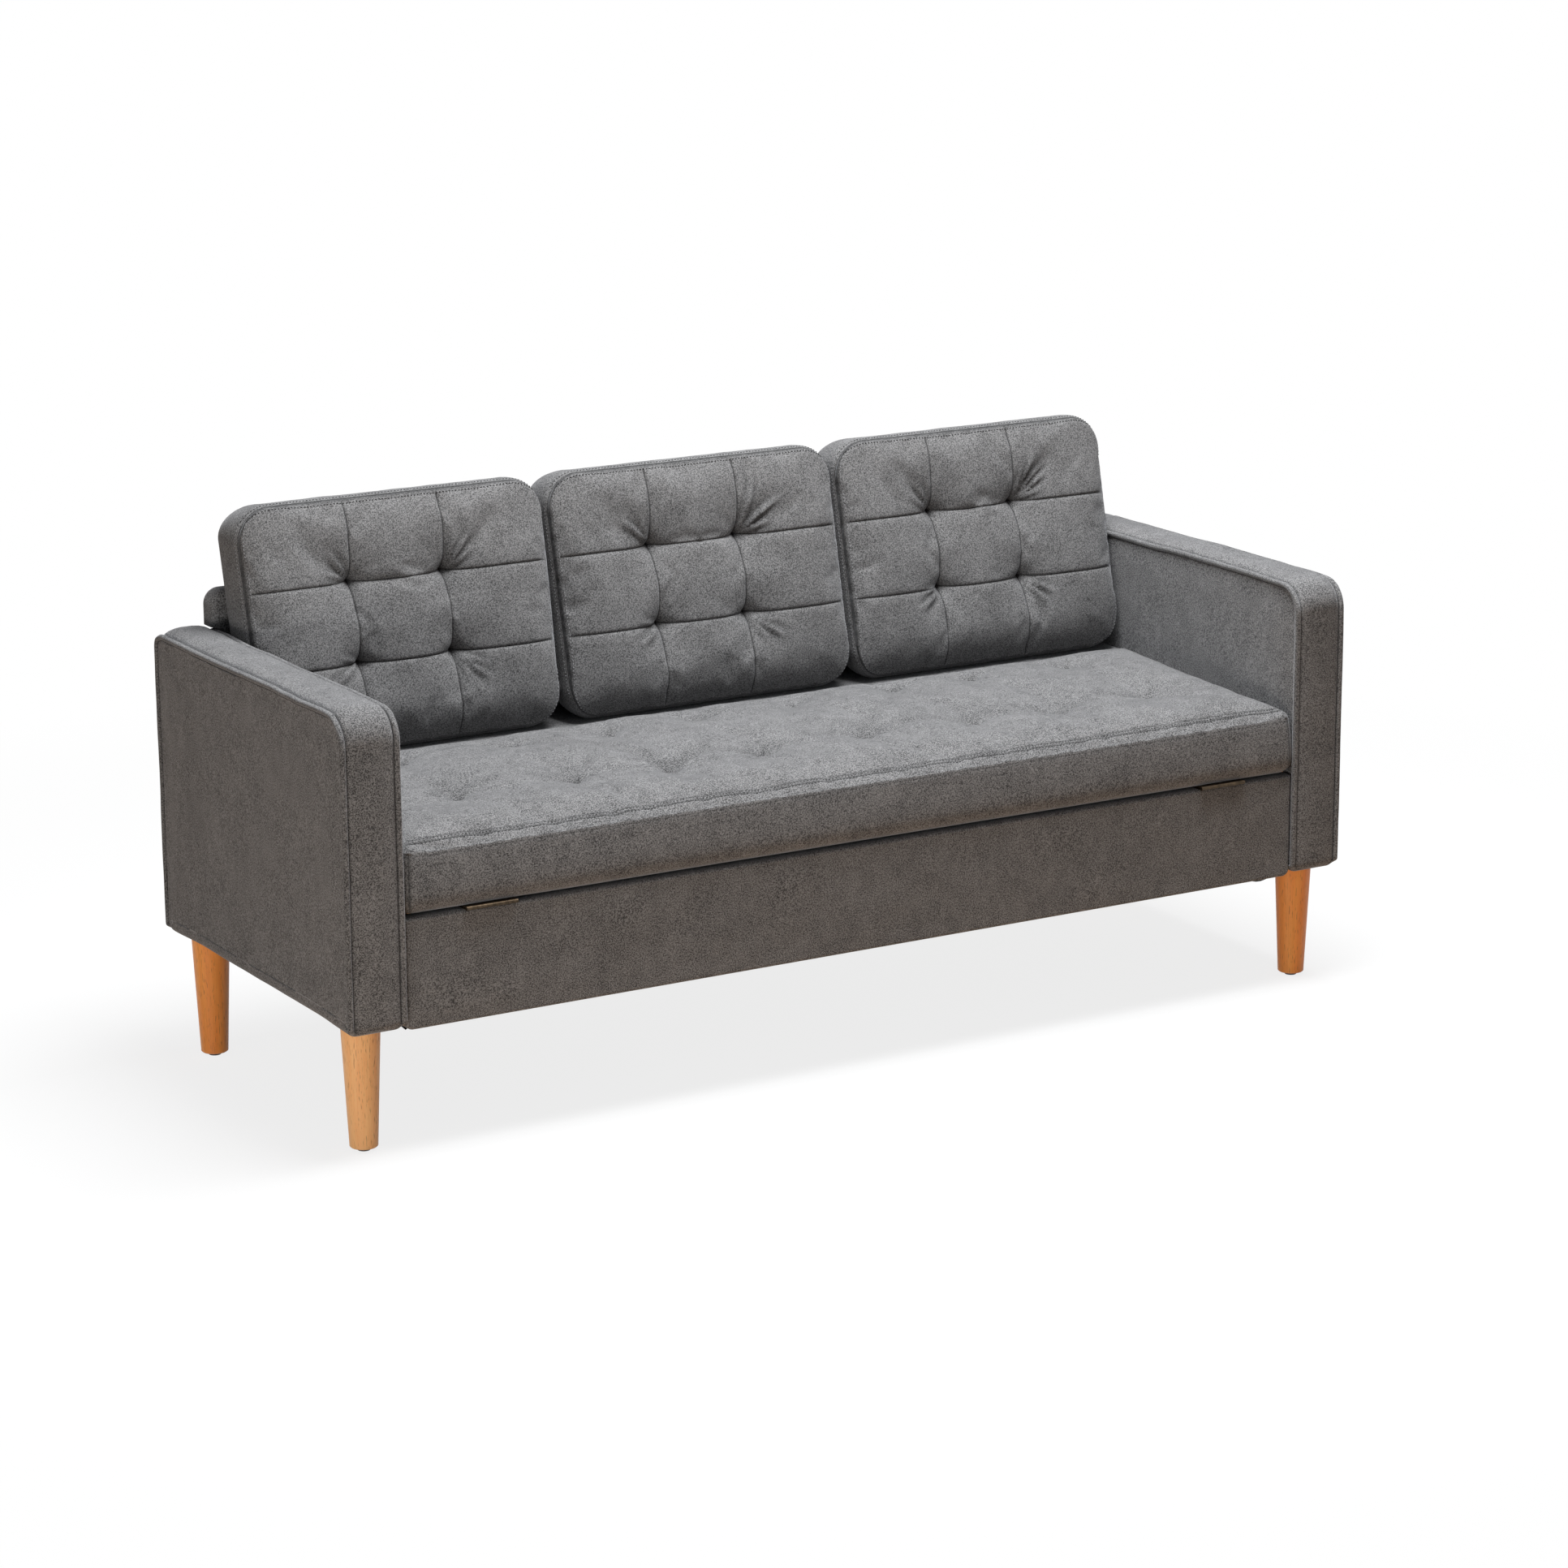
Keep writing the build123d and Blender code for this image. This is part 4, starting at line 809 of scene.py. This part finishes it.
def cushion(name, centre_x, seed, folds, foot_in):
    """A boxed cushion with nine panels, four deep tufts and creases between them."""
    half = cushion_half - CUSHION_SIDE_PUFF
    low, high = (-half, cushion_low.z + CUSHION_SEAM_RISE), (half, cushion_high.z)
    radii = (CUSHION_CORNER,) * 4
    seam_xs = tuple(x + CUSHION_SEAM_SHIFT[name] for x in CUSHION_SEAMS_X)
    seams = (seam_xs, CUSHION_SEAMS_Z)
    tufts = [(x, z) for z in CUSHION_SEAMS_Z for x in seam_xs]
    coarse = Panel.ruled(low, high, radii, (CUSHION_COARSE_STEP, CUSHION_COARSE_STEP), seams, beside=())
    fine = Panel.ruled(low, high, radii, (CUSHION_STEP, CUSHION_STEP), seams)

    def sheet(panel):
        """The front before it is puffed: crowned, wrapped round the edge, drawn back at its foot."""
        flat = panel.grid()
        x, z = flat[..., 0], flat[..., 1]
        line, draw = cushion_face(z)
        below_top = np.min([x - low[0], high[0] - x, z - low[1]], axis=0)
        crown = CUSHION_CROWN * quarter(below_top / (70 * MM))
        near_top = smooth(high[1] - 70 * MM, high[1] - 12 * MM, z)
        turn = CUSHION_WRAP + (CUSHION_TOP_WRAP - CUSHION_WRAP) * near_top
        wrap = np.maximum(turn * (1 - quarter(panel.depth(flat) / turn)), draw)
        return upright(flat, line + wrap - dimpled(crown, flat, tufts, TUFT_DEPTH * 0.62, 30 * MM))

    points = puffed(sheet, coarse, fine, tufts, jitter=(0.05, seed, (0, 0.6 * MM, 0)), pressure=1.7,
                    slack=0.007, limit=24 * MM)

    # the sewn lines, the tufts and the folds that leave them
    flat = fine.grid()
    x, z = flat[..., 0], flat[..., 1]
    edge = fine.depth(flat)
    across_x = np.min([np.abs(x - seam) for seam in seam_xs], axis=0)
    across_z = np.min([np.abs(z - seam) for seam in CUSHION_SEAMS_Z], axis=0)
    away = from_tufts(flat, tufts)
    groove = 2.0 * MM * (bump(across_x, 1.5 * MM) + bump(across_z, 1.5 * MM))
    groove += 1.0 * MM * (bump(across_x, 7 * MM) + bump(across_z, 7 * MM)) * (1 + 2.6 * bump(away, 26 * MM))
    pull = TUFT_DEPTH * 0.5 * bump(away, 12 * MM) + 2.5 * MM * bump(away, 4 * MM)
    ridge = fans(flat, tufts, folds) * smooth(4 * MM, 30 * MM, edge)
    spot = upright(flat, seed)
    lump = (uneven(spot, 0.06, seed + 5) * 0.9 + uneven(spot, 0.018, seed + 6) * 0.16) * MM
    lump = lump * smooth(0, 25 * MM, edge)
    along = np.where(np.minimum(x - low[0], high[0] - x) < edge + 6 * MM, z, x)
    pucker = np.sin(along / (2.3 * MM) + 5 * uneven(spot, 0.05, seed + 8))
    pucker = pucker * smooth(-0.2, 0.8, uneven(spot, 0.07, seed))
    lump = lump + 0.55 * MM * pucker * bump(edge - 8 * MM, 7 * MM)
    points[..., 1] += groove * smooth(2 * MM, 16 * MM, edge) + pull - ridge - lump
    # painted shade: dark sewn lines and front seam, dark pinched tufts with a soft halo, and dark fold
    # valleys
    sewn_line = np.maximum(bump(across_x, 0.9 * MM), bump(across_z, 0.9 * MM))
    shade = np.max([0.9 * sewn_line * smooth(1 * MM, 4 * MM, edge), 0.8 * bump(edge, 1.5 * MM),
                    0.6 * bump(away, 4.5 * MM) + 0.16 * bump(away, 17 * MM),
                    0.30 * np.clip(-ridge / (0.9 * MM), 0, 1)], axis=0)

    # the boxing from the front seam to the rear one
    ring = fine.ring(0)
    out = fine.outward()
    upward, downward = np.clip(out[:, 1], 0, 1), np.clip(-out[:, 1], 0, 1)
    puff = CUSHION_SIDE_PUFF * np.abs(out[:, 0]) + CUSHION_TOP_PUFF * upward + CUSHION_SEAM_RISE * downward
    front_y = points[fine.loop()][:, 1]
    rear_y = cushion_face(ring[:, 1] - CUSHION_TOP_SLOPE * upward)[0] + CUSHION_GUSSET
    rear_y = rear_y - CUSHION_REAR_IN * upward
    rings = []
    for t, bulge, tone in CUSHION_BOXING:
        wave = uneven(upright(ring + (centre_x, 0), t * 0.08), 0.04, seed + 9)
        spread = ring + out * (puff * bulge * (1 + 0.10 * wave))[:, None]
        spread[:, 1] = np.maximum(spread[:, 1], cushion_low.z) - CUSHION_TOP_SLOPE * upward * t
        rings.append(upright(spread, front_y + (rear_y - front_y) * t))
    back = fine.grid(1.5 * MM)
    swell = CUSHION_REAR_CROWN * 0.9 * smooth(0, 60 * MM, fine.depth(back))
    near_top = np.clip((back[..., 1] - high[1]) / CUSHION_CORNER + 1, 0, 1)
    back[..., 1] -= CUSHION_TOP_SLOPE * near_top
    back_y = cushion_face(back[..., 1])[0] + CUSHION_GUSSET + swell - CUSHION_REAR_IN * near_top
    back = upright(back, back_y)
    points, faces = boxed(points, rings, back)
    tones = [np.full(len(ring), tone) for t, bulge, tone in CUSHION_BOXING]
    shade = np.concatenate([shade.ravel(), *tones, np.zeros(back[..., 0].size)])
    low_down = 1 - smooth(cushion_low.z, cushion_low.z + 0.30, points[:, 2])
    for side, amount in zip((-1, 1), foot_in):
        points[:, 0] -= side * amount * MM * low_down * smooth(0.05, half, side * points[:, 0])
    points = points + np.array([centre_x, 0, 0])
    body = f"{name}_back_cushion"
    cover = piece(f"{name}_cushion_upholstery", points, faces, velour_smooth, body,
                  shade)
    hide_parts(f"{name}_cushion_cover", f"{name}_cushion_filling")

    # topstitching on each side of the front seam: pale down the sides, dark along the top
    rows, columns = fine.shape
    r, c = fine.loop(2)
    first = rows * columns + CUSHION_STITCH_RING * len(ring)
    pale, dark = [], []
    for path in (points[r * columns + c], points[first:first + len(ring)]):
        spots, normals = laid(points, faces, path)
        on_top = np.flatnonzero(spots[:, 2] > cushion_high.z - 22 * MM)
        rest = np.concatenate([np.arange(on_top[-1], len(spots)), np.arange(on_top[0] + 1)])
        pale.append(stitches(spots[rest], normals[rest], *CUSHION_SIDE_STITCH))
        dark.append(stitches(spots[on_top], normals[on_top], *CUSHION_TOP_STITCH))
    sewn(f"{name}_cushion_topstitch", pale, pale_thread, body)
    sewn(f"{name}_cushion_top_seam", dark, dark_thread, body)


# (tuft, angle, length, width, height): tufts count lower left, lower right, upper left, upper right
CUSHION_FOLDS = {
    "left": [(2, 128, 70, 3.6, 1.7), (2, 152, 55, 3.6, 1.3), (3, 50, 80, 3.4, 2.2), (3, 30, 66, 3.8, 1.8),
             (3, 68, 60, 3.2, 1.5), (0, 200, 60, 4.0, 1.3), (0, 160, 44, 3.6, 1.1), (1, 318, 74, 3.8, 2.0),
             (1, 338, 60, 3.8, 1.6), (1, 300, 46, 3.4, 1.2)],
    "middle": [(2, 132, 74, 3.8, 1.9), (2, 112, 54, 3.2, 1.4), (3, 45, 98, 3.4, 2.6), (3, 61, 104, 3.2, 2.4),
               (3, 76, 92, 3.2, 2.0), (3, 26, 66, 3.8, 1.8), (0, 215, 58, 4.0, 1.4), (0, 170, 46, 3.6, 1.1),
               (1, 322, 80, 3.8, 2.2), (1, 303, 54, 3.4, 1.5), (1, 345, 50, 3.8, 1.2)],
    "right": [(2, 124, 66, 3.6, 1.6), (2, 148, 60, 3.8, 1.5), (3, 38, 84, 3.2, 2.5), (3, 51, 92, 2.8, 2.6),
              (3, 63, 86, 2.8, 2.4), (3, 76, 70, 3.0, 2.0), (3, 22, 60, 3.6, 1.6), (0, 215, 64, 4.0, 1.6),
              (0, 185, 46, 3.8, 1.1), (1, 312, 70, 3.8, 1.8), (1, 334, 66, 3.8, 1.7)],
}
CUSHION_FOOT_IN = {"left": (0, 9), "middle": (0, 4), "right": (0, 4)}     # narrower low down, mm
cushion_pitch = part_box("right_cushion_cover")[0].x - cushion_low.x
for number, name in enumerate(cushion_names):
    cushion(name, (number - 1) * cushion_pitch, 41 + 10 * number, CUSHION_FOLDS[name], CUSHION_FOOT_IN[name])


# ==== Seat pad ================================================================
SEAT_EDGE = 85 * MM                 # the boxed front's height
SEAT_REAR_EDGE = 103 * MM
SEAT_CROWN = 24 * MM
SEAT_CORNER = 15 * MM
SEAT_COARSE_STEP = 10 * MM
SEAT_STEP = 5.5 * MM
SEAT_TUFT_DEPTH = 12 * MM
SEAT_RIDGE = 7 * MM                 # behind the front edge
SEAT_STITCH_LINES = (12.7 * MM, 18.5 * MM)
SEAT_STITCH = (5.4 * MM, 3.4 * MM, 0.6 * MM)         # pitch, length, radius
SEAT_TUFTS = ((-590, -148), (-405, -154), (-259, -168), (-97, -160), (88, -150), (265, -166), (416, -170),
              (584, -158), (-578, 50), (-409, 47), (-246, 36), (-85, 52), (73, 46), (266, 62), (396, 54),
              (574, 48))
# (tuft, tuft, how far the crease between them bows back, depth), mm
SEAT_CREASES = ((0, 1, 22, 3.0), (9, 2, 26, 4.4), (2, 3, 24, 5.2), (3, 4, 18, 3.6), (4, 5, 18, 4.0),
                (5, 6, 14, 2.8), (6, 7, 18, 4.2), (8, 9, 16, 2.8), (9, 10, 14, 3.0), (10, 11, 16, 2.8),
                (11, 12, 14, 3.0), (12, 13, 18, 3.2), (13, 14, 14, 2.6), (14, 15, 16, 2.8),
                (10, 1, -14, 2.6), (13, 4, -16, 2.8), (6, 14, 12, 2.4), (0, 8, 10, 2.0))
# the boxed edge from its top seam down: distance in, drop where the edge is 85 high, painted crease shade
SEAT_BOXING = ((0.0, 0.0, 0), (-0.8, 1.6, 0), (-0.9, 3.2, 0.35), (-1.4, 5.0, 0), (-2.1, 10.0, 0),
               (-3.1, 18.0, 0), (-4.2, 28.0, 0), (-5.4, 40.0, 0), (-6.2, 50.0, 0), (-6.6, 60.0, 0),
               (-6.2, 67.0, 0), (-4.6, 73.0, 0), (-1.6, 78.0, 0), (3.0, 82.0, 0), (9.0, 85.0, 0.4),
               (12.0, 85.5, 0.5), (23.0, 85.6, 0))
SEAT_HEM = ((24.0, 3.0), (25.0, 6.0))         # under the board: distance in, and up from its underside
seat_tufts = [(x * MM, y * MM) for x, y in SEAT_TUFTS]


def creased(flat, tufts, creases):
    """Heights of soft valleys between tufts, steeper on their front side, and painted shade just behind each
    valley.
    """
    total, tone = np.zeros(flat.shape[:2]), np.zeros(flat.shape[:2])
    for one, two, bow, depth in creases:
        start, end = np.array(tufts[one]), np.array(tufts[two])
        length = np.linalg.norm(end - start)
        way = (end - start) / length
        away = flat - start
        along = (away @ way) / length
        t = np.clip(along, 0, 1)
        across = (away[..., 1] * way[0] - away[..., 0] * way[1]) * np.sign(way[0] + 1e-6)
        across = across - bow * MM * 4 * t * (1 - t)
        strength = smooth(-0.14, 0.03, along) * smooth(1.14, 0.97, along) * (0.40 + 0.60 * (2 * t - 1) ** 2)
        width = np.where(across > 0, 17 * MM, 8 * MM)
        total += depth * MM * strength * (0.4 * bump(across + 25 * MM, 17 * MM) - bump(across, width))
        tone = np.maximum(tone, 0.05 * depth * strength * bump(across - 6 * MM, 13 * MM))
    return total, tone


def seat():
    """The lid's pad: a crowned top with sixteen shallow tufts, and a boxed edge rolled under."""
    low = (seat_low.x + 1 * MM, seat_low.y + 4 * MM)
    high = (seat_high.x - 1 * MM, seat_high.y - 3 * MM)
    radii = (SEAT_CORNER,) * 4
    coarse = Panel.ruled(low, high, radii, (SEAT_COARSE_STEP, SEAT_COARSE_STEP))
    seams = ((), (low[1] + SEAT_STITCH_LINES[1],))
    fine = Panel.ruled(low, high, radii, (SEAT_STEP, SEAT_STEP), seams, beside=(0.9, 2.2))
    front_z, rear_z = lid_low.z + SEAT_EDGE, lid_low.z + SEAT_REAR_EDGE

    def edge_z(y):
        """The height of the pad's top seam."""
        return front_z + (rear_z - front_z) * np.clip((y - low[1]) / (high[1] - low[1]), 0, 1)

    def sheet(panel):
        """The top before it is puffed."""
        flat = panel.grid()
        z = edge_z(flat[..., 1]) + SEAT_CROWN * quarter(panel.depth(flat) / (115 * MM))
        return level(flat, dimpled(z, flat, seat_tufts, SEAT_TUFT_DEPTH * 0.6, 34 * MM))

    points = puffed(sheet, coarse, fine, seat_tufts, jitter=(0.06, 71, (0, 0, 0.8 * MM)), pressure=1.3,
                    slack=0.008, limit=20 * MM)

    # the tufts, the folds and creases that leave them, and the topstitched ridge in front
    flat = fine.grid()
    edge = fine.depth(flat)
    away = from_tufts(flat, seat_tufts)
    spot = level(flat, 0)
    lump = uneven(spot, 0.04, 73) * 0.6 * MM + uneven(spot, 0.13, 79) * 1.6 * MM
    folds = []
    for number in range(len(seat_tufts)):
        turn = 40 * math.sin(number * 2.7)
        folds += [(number, 152 + turn, 64, 5.0, 1.6), (number, 34 + turn * 0.6, 76, 5.4, 1.8)]
    points[..., 2] += lump * smooth(0, 30 * MM, edge) - SEAT_TUFT_DEPTH * 0.45 * bump(away, 9 * MM)
    valleys, hollow = creased(flat, seat_tufts, SEAT_CREASES)
    points[..., 2] += (fans(flat, seat_tufts, folds) + valleys) * smooth(10 * MM, 40 * MM, edge)
    behind = flat[..., 1] - low[1]
    first_line, second_line = SEAT_STITCH_LINES
    sewn_line = bump(behind - first_line, 1.6 * MM) + 0.8 * bump(behind - second_line, 1.3 * MM)
    ahead = 0.5 * MM * bump(behind - SEAT_RIDGE, 5 * MM) - 0.5 * MM * sewn_line
    points[..., 2] += ahead * smooth(3 * MM, 12 * MM, edge + 4 * MM)
    points[..., 2] = np.minimum(points[..., 2], seat_high.z + 4 * MM)
    # painted shade: dark tufts with a soft halo, the valleys' rear flanks and the topstitched lines
    shade = np.max([0.45 * bump(away, 5 * MM) + 0.18 * bump(away, 20 * MM), hollow,
                    0.6 * np.minimum(sewn_line, 1) * smooth(8 * MM, 12 * MM, edge)], axis=0)

    # the boxed edge; the board's edges stay inside: the least room is behind it, then at its sides
    ring = fine.ring(0)
    out = fine.outward()
    top_z = edge_z(ring[:, 1])
    corner_seam = bump(np.abs(ring[:, 0]) - high[0] + 9 * MM, 1.3 * MM) * smooth(0.6, 0.95, -out[:, 1])
    most = np.where(out[:, 1] > 0.5, 4.4, np.where(out[:, 1] < -0.5, 8.4, 7.4))
    rings, tones = [], []
    for inset, drop, tone in SEAT_BOXING:
        share = drop * MM / SEAT_EDGE
        inset = np.minimum(inset, most) if share <= 1 else inset
        z = top_z - (top_z - lid_low.z) * share
        wave = uneven(level(ring, z), 0.12, 81, 1) * 0.6 * MM
        outward = wave * smooth(0.05, 0.2, share) - 0.8 * MM * corner_seam - inset * MM
        rings.append(level(ring + out * outward[:, None], z))
        # painted shade down the sewn front corners
        tones.append(np.maximum(tone, 0.7 * corner_seam))
    for inset, up in SEAT_HEM:
        rings.append(level(fine.ring(inset * MM), lid_low.z + up * MM))
        tones.append(np.zeros(len(ring)))
    under = level(fine.grid(26 * MM), lid_low.z + 7 * MM)
    points, faces = boxed(points, rings, under)
    shade = np.concatenate([shade.ravel(), *tones, np.zeros(under[..., 0].size)])
    cover = piece("seat_upholstery", points, faces, velour_crushed, "seat", shade)
    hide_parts("seat_cover", "seat_foam")
    xs = np.linspace(low[0] + 16 * MM, high[0] - 16 * MM, 240)
    runs = []
    for behind in SEAT_STITCH_LINES:
        spots, normals = laid(points, faces, xyz(xs, low[1] + behind, front_z + 10 * MM))
        runs.append(stitches(spots, normals, *SEAT_STITCH))
    sewn("seat_topstitch", runs, dark_thread, "seat")


seat()


# ==== Front panel, deck and back ==============================================
PANEL_SAG = 4 * MM                  # the front panel's cloth hangs a little below the frame
# distance in from the outline, and back from the front face
PANEL_ROUNDING = ((3.2, 1.4), (1.7, 2.6), (0.6, 4.6), (0.1, 7.0), (0.0, 12.0), (0.0, 18.0), (0.0, 24.6),
                  (3.3, 24.8), (5.5, 20.0))
# distance in, drop at the sides and rear, drop at the front
DECK_ROUNDING = ((2.0, 1.4, 1.6), (0.7, 2.6, 3.2), (0.0, 4.6, 6.5), (0.0, 7.0, 25.0), (0.3, 9.0, 46.0),
                 (2.0, 9.6, 49.4), (7.6, 9.8, 49.0), (8.6, 12.0, 30.0), (9.5, 14.0, 18.0))
# distance in, and back from the front face; the rear edge mirrors it
BACK_ROUNDING = ((4.2, 1.4), (2.2, 2.6), (0.8, 4.4), (0.2, 6.6), (0.0, 9.0), (0.0, 14.0), (0.0, 19.0))
SHOULDER_DROP = 56 * MM             # the back is wider above the arms
DUST_DROOPS = ((0.715, 0.034, 15 * MM), (-0.742, 0.007, 13 * MM))   # where it hangs, how wide, how low


def frame_cover(name, front, rings, back):
    """One of the frame's padded covers."""
    points, faces = boxed(front, rings, back)
    cover = piece(f"{name}_upholstery", points, faces, velour_crushed, "sofa")
    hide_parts(f"{name}_cover")


def front_panel():
    """The padded front panel: rolled lower edge, cloth turned over its board."""
    low, high = (panel_low.x, panel_low.z - PANEL_SAG), (panel_high.x, panel_high.z)
    outline = Panel.ruled(low, high, (12 * MM, 12 * MM, 3 * MM, 3 * MM), (9 * MM, 7 * MM))
    flat = outline.grid(5 * MM)
    spot = upright(flat, 0)
    wave = uneven(spot, 0.10, 91) * 0.7 * MM + uneven(spot, 0.03, 93) * 0.2 * MM
    wave = wave * smooth(4 * MM, 30 * MM, outline.depth(flat))
    front = upright(flat, panel_low.y + 0.8 * MM - wave)
    rings = [upright(outline.ring(inset * MM), panel_low.y + depth * MM) for inset, depth in PANEL_ROUNDING]
    frame_cover("front_panel", front, rings, upright(outline.grid(7 * MM), panel_low.y + 18 * MM))


def deck():
    """The padded deck, turned down over its front edge."""
    low, high = (deck_low.x, deck_low.y), (deck_high.x, deck_high.y)
    outline = Panel.ruled(low, high, (3 * MM,) * 4, (12 * MM, 8 * MM))
    flat = outline.grid(4 * MM)
    top = level(flat, deck_high.z - 0.6 * MM + 0.4 * MM * uneven(level(flat, 0), 0.08, 95))
    ahead = smooth(0.3, 0.9, -outline.outward()[:, 1])
    rings = []
    for inset, side_drop, front_drop in DECK_ROUNDING:
        drop = (side_drop + (front_drop - side_drop) * ahead) * MM
        rings.append(level(outline.ring(inset * MM), deck_high.z - drop))
    frame_cover("deck", top, rings, level(outline.grid(10 * MM), deck_high.z - 18 * MM))


def back():
    """The back frame's cover: narrow between the arms, wider above them."""
    shoulder = back_high.z - SHOULDER_DROP
    low, high = (back_low.x, back_low.z), (back_high.x, back_high.z)
    foot, crown = 4 * MM, 24 * MM
    vs = sorted({*lines(low[1] + foot, shoulder - 2 * MM, 14 * MM),
                 *lines(shoulder + 2 * MM, high[1] - crown, 6 * MM)})
    outline = Panel(low, high, (foot, foot, crown, crown), lines(low[0] + crown, high[0] - crown, 14 * MM),
                    np.array(vs))

    def clamped(flat, inset):
        """Points moved in to the width that the back has at their height."""
        half = np.where(flat[..., 1] < shoulder, deck_high.x - inset, back_high.x)
        return np.stack([np.clip(flat[..., 0], -half, half), flat[..., 1]], -1)

    def face(inset, y, seed):
        """The front or the rear."""
        grid = outline.grid(inset)
        flat = clamped(grid, inset)
        wave = uneven(upright(flat, y), 0.13, seed) * 0.6 * MM
        return upright(flat, y + wave * smooth(5 * MM, 40 * MM, outline.depth(grid)))

    front = face(7 * MM, back_low.y + 0.6 * MM, 97)
    rear = face(7 * MM, back_high.y - 0.6 * MM, 99)
    rings = []
    depth = (back_high.y - back_low.y) / MM
    for inset, y in [*BACK_ROUNDING, *[(inset, depth - y) for inset, y in BACK_ROUNDING[-2::-1]]]:
        rings.append(upright(clamped(outline.ring(inset * MM), inset * MM), back_low.y + y * MM))
    frame_cover("back", front, rings, rear)


def dust_cover():
    """The thin black cloth under the box, slack between its staples."""
    low, high = (dust_low.x, dust_low.y), (dust_high.x, dust_high.y)
    outline = Panel.ruled(low, high, (3 * MM,) * 4, (9 * MM, 12 * MM))
    flat = outline.grid()
    x, y = flat[..., 0], flat[..., 1]
    edge = outline.depth(flat)
    sag = (2.4 + 1.4 * uneven(level(flat, 0), 0.16, 131)) * MM * smooth(0, 90 * MM, edge)
    sag += 0.5 * MM * np.sin(x / (9 * MM)) * bump(edge - 14 * MM, 12 * MM)
    for place, width, drop in DUST_DROOPS:
        sag += drop * bump(x - place, width) * smooth(low[1] + 70 * MM, low[1], y)
    upper, lower = [level(flat, z - sag) for z in (dust_high.z - 0.2 * MM, dust_low.z + 0.2 * MM)]
    points, faces = boxed(upper, [], lower)
    cloth = piece("dust_cloth", points, faces, black_cloth, "sofa")
    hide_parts("dust_cover")


front_panel()
deck()
back()
dust_cover()


# ==== Camera, floor and light =================================================
FLOOR_HALF = 12.0


def camera():
    """The photograph's camera."""
    data = bpy.data.cameras.new("camera")
    data.lens = CAMERA_LENS
    data.sensor_width = SENSOR_WIDTH
    data.clip_end = 100
    obj = linked("camera", data)
    back = Vector((math.sin(CAMERA_YAW) * math.cos(CAMERA_PITCH),
                   -math.cos(CAMERA_YAW) * math.cos(CAMERA_PITCH), math.sin(CAMERA_PITCH)))
    right = (-back).cross(Vector((0, 0, 1))).normalized()
    up = right.cross(-back)
    turned_right = right * math.cos(CAMERA_ROLL) + up * math.sin(CAMERA_ROLL)
    turned_up = up * math.cos(CAMERA_ROLL) - right * math.sin(CAMERA_ROLL)
    turn = Matrix((turned_right, turned_up, back)).transposed()
    obj.matrix_world = Matrix.Translation(CAMERA_PLACE) @ turn.to_4x4()
    bpy.context.scene.camera = obj


def lamp(name, place, target, size, power, colour):
    """A soft rectangular lamp that points at a target."""
    data = bpy.data.lights.new(name, "AREA")
    data.shape = "RECTANGLE"
    data.size, data.size_y = size
    data.energy = power
    data.color = colour
    obj = linked(name, data)
    obj.location = place
    obj.rotation_mode = "QUATERNION"
    obj.rotation_quaternion = (Vector(target) - Vector(place)).to_track_quat("-Z", "Y")


def seen_directly(n):
    """1 for camera, glossy and transmission rays."""
    rays = n.add("ShaderNodeLightPath")
    seen = n.math("MAXIMUM", rays.outputs["Is Camera Ray"], rays.outputs["Is Glossy Ray"])
    return n.math("MAXIMUM", seen, rays.outputs["Is Transmission Ray"])


def shaders_mixed(n, share, one, two):
    """A mix of two shaders."""
    return n.add("ShaderNodeMixShader", {"Fac": share, 1: one, 2: two}).outputs[0]


def stage():
    """A white room: a pale floor that keeps the shadow, and plain white behind."""
    n = Nodes("floor")
    n.finish(Base_Color=(0.36, 0.24, 0.15, 1), Roughness=0.9)
    white = n.add("ShaderNodeEmission", {"Color": grey(1.0), "Strength": 1.0}).outputs[0]
    pale = n.add("ShaderNodeBsdfDiffuse", {"Color": grey(0.92)}).outputs[0]
    away = n.add("ShaderNodeVectorMath", {0: n.place()}, operation="LENGTH").outputs["Value"]
    shown = shaders_mixed(n, n.ramp(away, 0.9, 2.4, 0.82, 1.0), pale, white)
    final = shaders_mixed(n, seen_directly(n), n.shader.outputs[0], shown)
    n.set(n.tree.nodes["Material Output"], "Surface", final)
    corners = [(x * FLOOR_HALF, y * FLOOR_HALF, 0) for x, y in ((-1, -1), (1, -1), (1, 1), (-1, 1))]
    floor = meshed("floor", corners, [(0, 1, 2, 3)])
    floor.data.materials.append(n.material)
    floor.location.z = -0.2 * MM

    world = bpy.data.worlds.new("studio")
    bpy.context.scene.world = world
    world.use_nodes = True
    n.tree = world.node_tree
    background = n.tree.nodes["Background"]
    rays = seen_directly(n)
    n.set(background, "Color", n.mix(rays, (0.93, 0.95, 1.0, 1), grey(1.0)))
    n.set(background, "Strength", n.ramp(rays, 0, 1, 0.12, 1.0))

    lamp("overhead", place=(0.25, -0.40, 3.3), target=(0.1, 0, 0.4), size=(2.0, 1.3), power=180,
         colour=(0.98, 0.99, 1.0))
    lamp("low_fill", place=(-3.4, -2.0, 0.28), target=(-0.2, 0, 0.08), size=(2.6, 0.4), power=42,
         colour=(1.0, 0.97, 0.93))


camera()
stage()
bpy.context.scene.view_settings.view_transform = "Standard"
